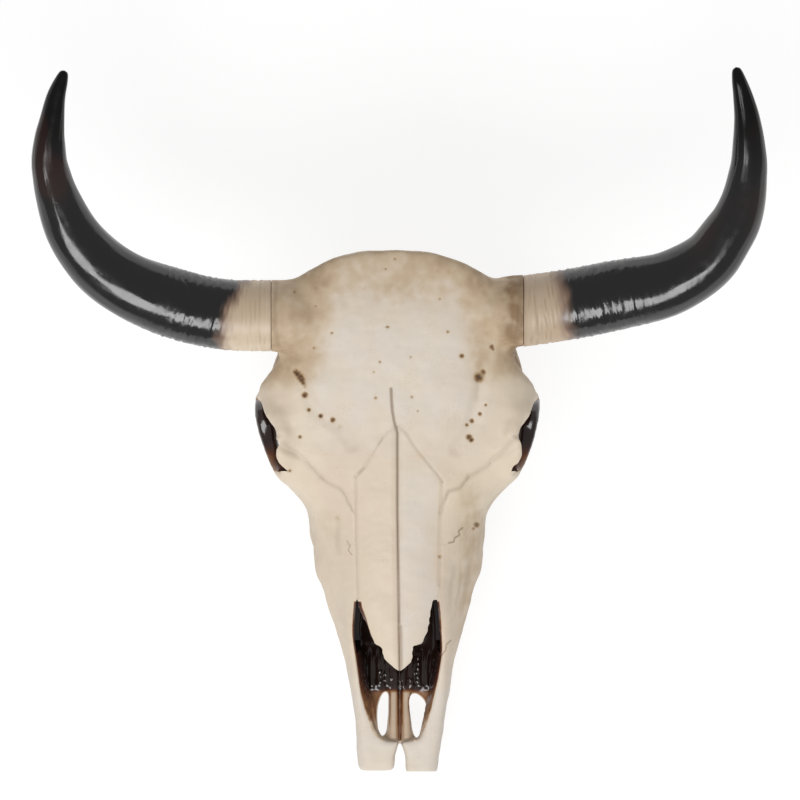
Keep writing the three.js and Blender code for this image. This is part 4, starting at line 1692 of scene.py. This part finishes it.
@dataclass
class ToothRow:
    """The six upper cheek teeth of one side: three premolars and three two-lobed molars."""

    side: Side
    start: float = 140.0
    end: float = 276.0
    lengths: tuple[float, ...] = (17, 19, 20, 24, 27, 29)
    premolars: int = 3
    gap: float = 0.6
    neck: float = 23.3
    crown: float = 0.8
    around: int = 96
    outer: Profile = Profile((140, 52), (200, 64), (276, 62))
    width: Profile = Profile((140, 12), (200, 21), (276, 22))
    face_rings: ClassVar = (0.93, 0.88, 0.82, 0.75, 0.67, 0.59, 0.5, 0.41, 0.32, 0.22, 0.12, 0.03)

    def build(self) -> list[bpy.types.Object]:
        """Models the row.

        Returns:
            The teeth, from the front one to the back one.
        """
        share = (self.end - self.start) / sum(self.lengths)
        ends = self.start + share * np.cumsum(self.lengths)
        starts = np.concatenate([[self.start], ends[:-1]])
        return [self._tooth(i + 1, a, b - self.gap) for i, (a, b) in enumerate(zip(starts, ends))]

    def _tooth(self, number: int, start: float, end: float) -> bpy.types.Object:
        """Models one tooth from rings down its wall and inwards over its chewing face.

        Args:
            number: its place in the row, from 1 at the front.
            start: where it starts along the skull.
            end: where it ends along the skull.

        Returns:
            The tooth.
        """
        lobes = 1 if number <= self.premolars else 2
        turn = 2 * math.pi * np.arange(self.around) / self.around
        u, v = [np.sign(wave) * np.abs(wave) ** 0.5 for wave in (np.cos(turn), np.sin(turn))]
        ribs = np.cos(math.pi * lobes * (v + 1))
        u = u + 0.10 * ribs * ramp(u, 0.5, 1.0) + 0.13 * ribs * ramp(-u, 0.3, 1.0)
        middle, half = (start + end) / 2, (end - start) / 2
        x1, broad = float(self.outer(middle)), float(self.width(middle)) / 2 / 1.1
        rings, worn = [], []

        def ring(scale: float, height: np.ndarray, brown: np.ndarray) -> None:
            """Adds one ring and how brown it is.

            Args:
                scale: its width, as a share of the tooth's.
                height: its height at each vertex.
                brown: how brown each vertex is, 0 to 1.
            """
            across = x1 - 1.1 * broad + u * broad * scale
            rings.append(np.stack([self.side.value * across, middle + v * half * scale, height], axis=1))
            worn.append(brown)

        flat = np.ones(self.around)
        for height in np.linspace(self.neck, self.crown, 14):
            rise = height / self.neck
            groove = 0.35 * (1 - ribs) / 2 + 0.75 * ramp(flat * rise, 0.72, 1.0)
            ring(1.0 - 0.03 * rise - 0.05 * ramp(1 - rise, 0.8, 1.0), flat * height, groove)
        for scale in self.face_rings:
            depth = self._chewing_face(u * scale, v * scale, lobes)
            ring(scale, depth, ramp(depth, 0.2, 1.1))
        tooth = ring_tool(f"tooth_{self.side.word}_{number}", rings)
        paint_layers(tooth, {Layer.WORN: np.concatenate(worn)})
        smooth_shaded(tooth, 55)
        return tooth

    @staticmethod
    def _chewing_face(u: np.ndarray, v: np.ndarray, lobes: int) -> np.ndarray:
        """How deep the face is worn at each place: enamel crests stand, dentine and pits lie lower.

        Args:
            u: places across the tooth, -1 to 1.
            v: places along the tooth, -1 to 1.
            lobes: how many lobes the tooth has.

        Returns:
            The depth at each place, in mm.
        """
        deepest = np.zeros(len(u))
        for centre in ((0.0,) if lobes == 1 else (-0.5, 0.5)):
            w = (v - centre) * lobes
            reach = np.hypot(u, w)
            dentine = 0.9 * ramp(reach, 0.38, 0.55) * (1 - ramp(reach, 0.68, 0.86))
            pit = 2.4 * np.exp(-(((u + 0.18 - 0.55 * w * w) / 0.14) ** 2)) * (1 - ramp(np.abs(w), 0.3, 0.6))
            deepest = np.maximum(deepest, np.where(np.abs(w) <= 1.0, dentine + pit, 0.0))
        return deepest


# ------------------------------------------------------------------ the horns


@dataclass(frozen=True)
class Fade:
    """Where one horn turns from cream to black, in shares of its length, and how much painted shade lies over
    it.
    """

    start: float
    end: float
    behind: float
    # Painted shade: ring-line brown laid evenly over the horn that gets less light.
    side_shade: float


@dataclass
class Horn:
    """One horn, from its ringed base to its tip."""

    side: Side
    path: tuple[tuple[float, float, float], ...]
    fade: Fade
    around: int = 84
    along: int = 300
    cap: float = 0.035
    inset: float = 0.0001
    girth: float = 20.0
    length: float = 560.0
    ring_pitch: float = 6.3
    radius: Profile = Profile(
        (0, 31.3), (0.2, 31), (0.4, 28), (0.55, 24), (0.7, 18.2), (0.85, 12.2), (0.95, 7.6), (0.98, 5.4),
        (0.9931, 3.9), (0.9975, 2.6), (1, 0.3),
    )

    def build(self) -> bpy.types.Object:
        """Models the horn from a grid that is rolled up round its middle line.

        Returns:
            The horn.
        """
        select_none()
        bpy.ops.mesh.primitive_grid_add(x_subdivisions=self.around, y_subdivisions=self.along, size=2)
        horn = bpy.context.object
        horn.name = "horn_" + self.side.word + "_sheath"
        flat = (points_of(horn)[:, :2] + 1) / 2
        turn = 2 * math.pi * flat[:, 0]
        share = np.clip((flat[:, 1] - self.cap) / (1 - self.cap), 0, 1)
        inward = np.clip(flat[:, 1] / self.cap, 0, 1)
        round_it = [np.cos(turn) * self.girth, np.sin(turn) * self.girth]
        wrapped = np.stack([*round_it, share * self.length], axis=1)
        centre, across, height = self._frame(share)
        reach = (self.radius(share) + self._relief(share, wrapped) * ramp(1 - share, 0, 0.06)) * inward
        flatness = 1 - 0.03 * ramp(share, 0, 0.06)
        ring = across * (reach * np.cos(turn))[:, None] + height * (flatness * reach * np.sin(turn))[:, None]
        low, high = [np.array(corner) for corner in CAD_BOX]
        move_points(horn, np.clip(SPACE.to_frame(centre + ring), low + self.inset, high - self.inset))
        paint_layers(horn, self._layers(share, turn, wrapped))
        with editing(horn):
            bpy.ops.mesh.remove_doubles(threshold=MERGE)
            bpy.ops.mesh.normals_make_consistent(inside=False)
        smooth_shaded(horn, 60)
        return horn

    def _frame(self, share: np.ndarray) -> tuple[np.ndarray, np.ndarray, np.ndarray]:
        """The middle line's place and its two cross directions at each share of its length.

        Args:
            share: how far along the horn each vertex is, 0 to 1.

        Returns:
            The middle line's places, and the level and the upright cross direction there.
        """
        keys = np.array(self.path) * [self.side.value, 1, 1]
        chord = np.concatenate([[0], np.cumsum(np.linalg.norm(np.diff(keys, axis=0), axis=1))])
        dense = np.linspace(0, chord[-1], 1200)
        line = averaged_line(np.stack([Profile(*zip(chord, keys[:, k]))(dense) for k in range(3)], axis=1))
        passed = np.concatenate([[0], np.cumsum(np.linalg.norm(np.diff(line, axis=0), axis=1))])
        passed /= passed[-1]
        tangent = averaged_line(np.gradient(line, axis=0))
        settle = ramp(passed, 0, 0.04)[:, None]
        tangent = tangent / np.linalg.norm(tangent, axis=1)[:, None]
        tangent = tangent * settle + np.array([self.side.value, 0, 0]) * (1 - settle)
        tangent /= np.linalg.norm(tangent, axis=1)[:, None]

        def sampled(rows: np.ndarray) -> np.ndarray:
            """The rows at each share of the length."""
            return np.stack([np.interp(share, passed, rows[:, k]) for k in range(3)], axis=1)

        centre, forward = sampled(line), sampled(tangent)
        across = np.cross(forward, [0, 0, 1.0])
        across /= np.linalg.norm(across, axis=1)[:, None]
        return centre, across, np.cross(across, forward)

    def _relief(self, share: np.ndarray, wrapped: np.ndarray) -> np.ndarray:
        """Height of the growth rings, scales and fibres over the plain round form, in mm.

        Args:
            share: how far along the horn each vertex is, 0 to 1.
            wrapped: the vertices as on a straight, even horn, in mm.

        Returns:
            The height at each vertex, in mm.
        """
        seed = 40 + self.side.value
        bent = wrapped[:, 2] + 2.0 * ripple(wrapped, 34, seed) + 1.0 * ripple(wrapped, 12, seed + 1)
        near = 1 - ramp(share, 0.16, 0.42)
        rings = 0.14 * np.sin(2 * math.pi * bent / self.ring_pitch)
        rings += 0.16 * np.sin(2 * math.pi * bent / 11.7 + 1)
        rings *= 1 + 0.9 * ripple(wrapped, 25, seed + 5)
        steps = 0.26 * (np.mod(bent / 15.5, 1.0) - 0.5)
        scales = 0.42 * np.abs(ripple(wrapped * [1, 1, 1.6], 9, seed + 2))
        rough = ramp(share, 0.08, 0.13) * (1 - ramp(share, 0.24, 0.36))
        fibres = 0.12 * ripple(wrapped * [1, 1, 0.08], 4.2, seed + 3) * ramp(share, 0.15, 0.3)
        swell = 0.3 * ripple(wrapped * [1, 1, 0.5], 40, seed + 4)
        return (near * (rings + steps) + rough * scales + fibres + swell - 0.35) * ramp(share, 0.0, 0.03)

    def _layers(self, share: np.ndarray, turn: np.ndarray, wrapped: np.ndarray) -> dict[Layer, np.ndarray]:
        """The painted layers: how black, how reddish, where the ring lines run, and the painted shade of a
        horn that gets less light.

        Args:
            share: how far along the horn each vertex is, 0 to 1.
            turn: the angle of each vertex round the horn.
            wrapped: the vertices as on a straight, even horn, in mm.

        Returns:
            A value for each vertex, by layer.
        """
        seed = 60 + self.side.value
        behind = ramp(-self.side.value * np.cos(turn), 0.1, 1.0)
        shift = share + self.fade.behind * behind
        shift += 0.008 * ripple(wrapped, 30, seed) + 0.005 * ripple(wrapped, 8, seed + 1)
        wave = wrapped[:, 2] * 2 * math.pi / self.ring_pitch
        rings = ramp(np.sin(wave + ripple(wrapped, 30, seed + 2)), 0.3, 1.0)
        broken = ramp(ripple(wrapped, 16, seed + 6), -0.2, 0.8)
        # Ring lines, with the painted shade of a horn that gets less light added evenly.
        line = 0.42 * rings * broken * ramp(share, 0.0, 0.02) + self.fade.side_shade
        return {
            Layer.DARK: ramp(shift, self.fade.start, self.fade.end),
            Layer.TINT: 0.3 * ramp(ripple(wrapped, 90, seed + 3), 0.1, 0.9) * ramp(share, 0.4, 0.6),
            Layer.LINE: line + 0.25 * np.exp(-(((share - 0.002) / 0.005) ** 2)),
            Layer.TIP: ramp(share, 0.66, 0.9),
        }


# The middle line of each horn in x, s and z, from base to tip.
HORN_PATHS = {
    Side.RIGHT: (
        (110.4, 401, 160), (138, 401, 159), (165, 404, 160), (191, 410.5, 162), (217, 419, 166),
        (243, 432, 172), (265, 449, 179), (285, 475, 188), (297, 503, 197), (302, 520, 202),
        (305, 538, 208), (304.5, 555, 214), (302, 573, 220), (299, 590, 226), (294, 606, 232),
        (291, 615, 236),
    ),
    Side.LEFT: (
        (110.4, 405, 160), (126, 407, 159), (151, 411, 160), (178, 416, 162), (204, 421, 165),
        (231, 427, 169), (256, 438, 175), (274, 451, 181), (288, 470, 188), (297, 485, 193),
        (303, 503, 198), (306, 520, 203), (308, 538, 209), (307.5, 555, 215), (306, 573, 221),
        (302.5, 592, 228), (299, 606, 234), (296, 618, 238),
    ),
}
HORN_FADES = {
    Side.RIGHT: Fade(start=0.075, end=0.152, behind=0.042, side_shade=0.0),
    # The left horn, on the side away from the key light, gets painted shade over its base.
    Side.LEFT: Fade(start=0.067, end=0.146, behind=0.012, side_shade=0.5),
}


# ------------------------------------------------------------------ all together


def finish_piece(piece: bpy.types.Object, paint: bpy.types.Material, node: str) -> None:
    """Gives a finished piece its material and ties it to the frame.

    Args:
        piece: the finished piece.
        paint: its material.
        node: the CAD node it stands for.
    """
    piece.data.materials.clear()
    piece.data.materials.append(paint)
    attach(piece, "root")
    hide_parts(node)
    LOG.info("%s: %d faces", piece.name, len(piece.data.polygons))


def main() -> None:
    """Builds the studio, the bones and the horns, and reports each piece."""
    logging.basicConfig(level=logging.INFO, format="%(name)s %(message)s")
    Studio().build()
    patches, relief = mottling(), grain()
    bone_paint = BoneFinish().build(patches, relief)
    horn_paint = HornFinish().build(patches, relief)
    head = Head()
    for node, bone in head.build().items():
        smooth_shaded(bone, 50)
        head.paint(bone)
        finish_piece(bone, bone_paint, node)
    tooth_paint = ToothFinish().build(patches)
    for side in Side:
        for tooth in ToothRow(side).build():
            finish_piece(tooth, tooth_paint, "maxilla_" + side.word)
        horn = Horn(side, HORN_PATHS[side], HORN_FADES[side]).build()
        finish_piece(horn, horn_paint, "horn_" + side.word)


if __name__ == "__main__":
    main()
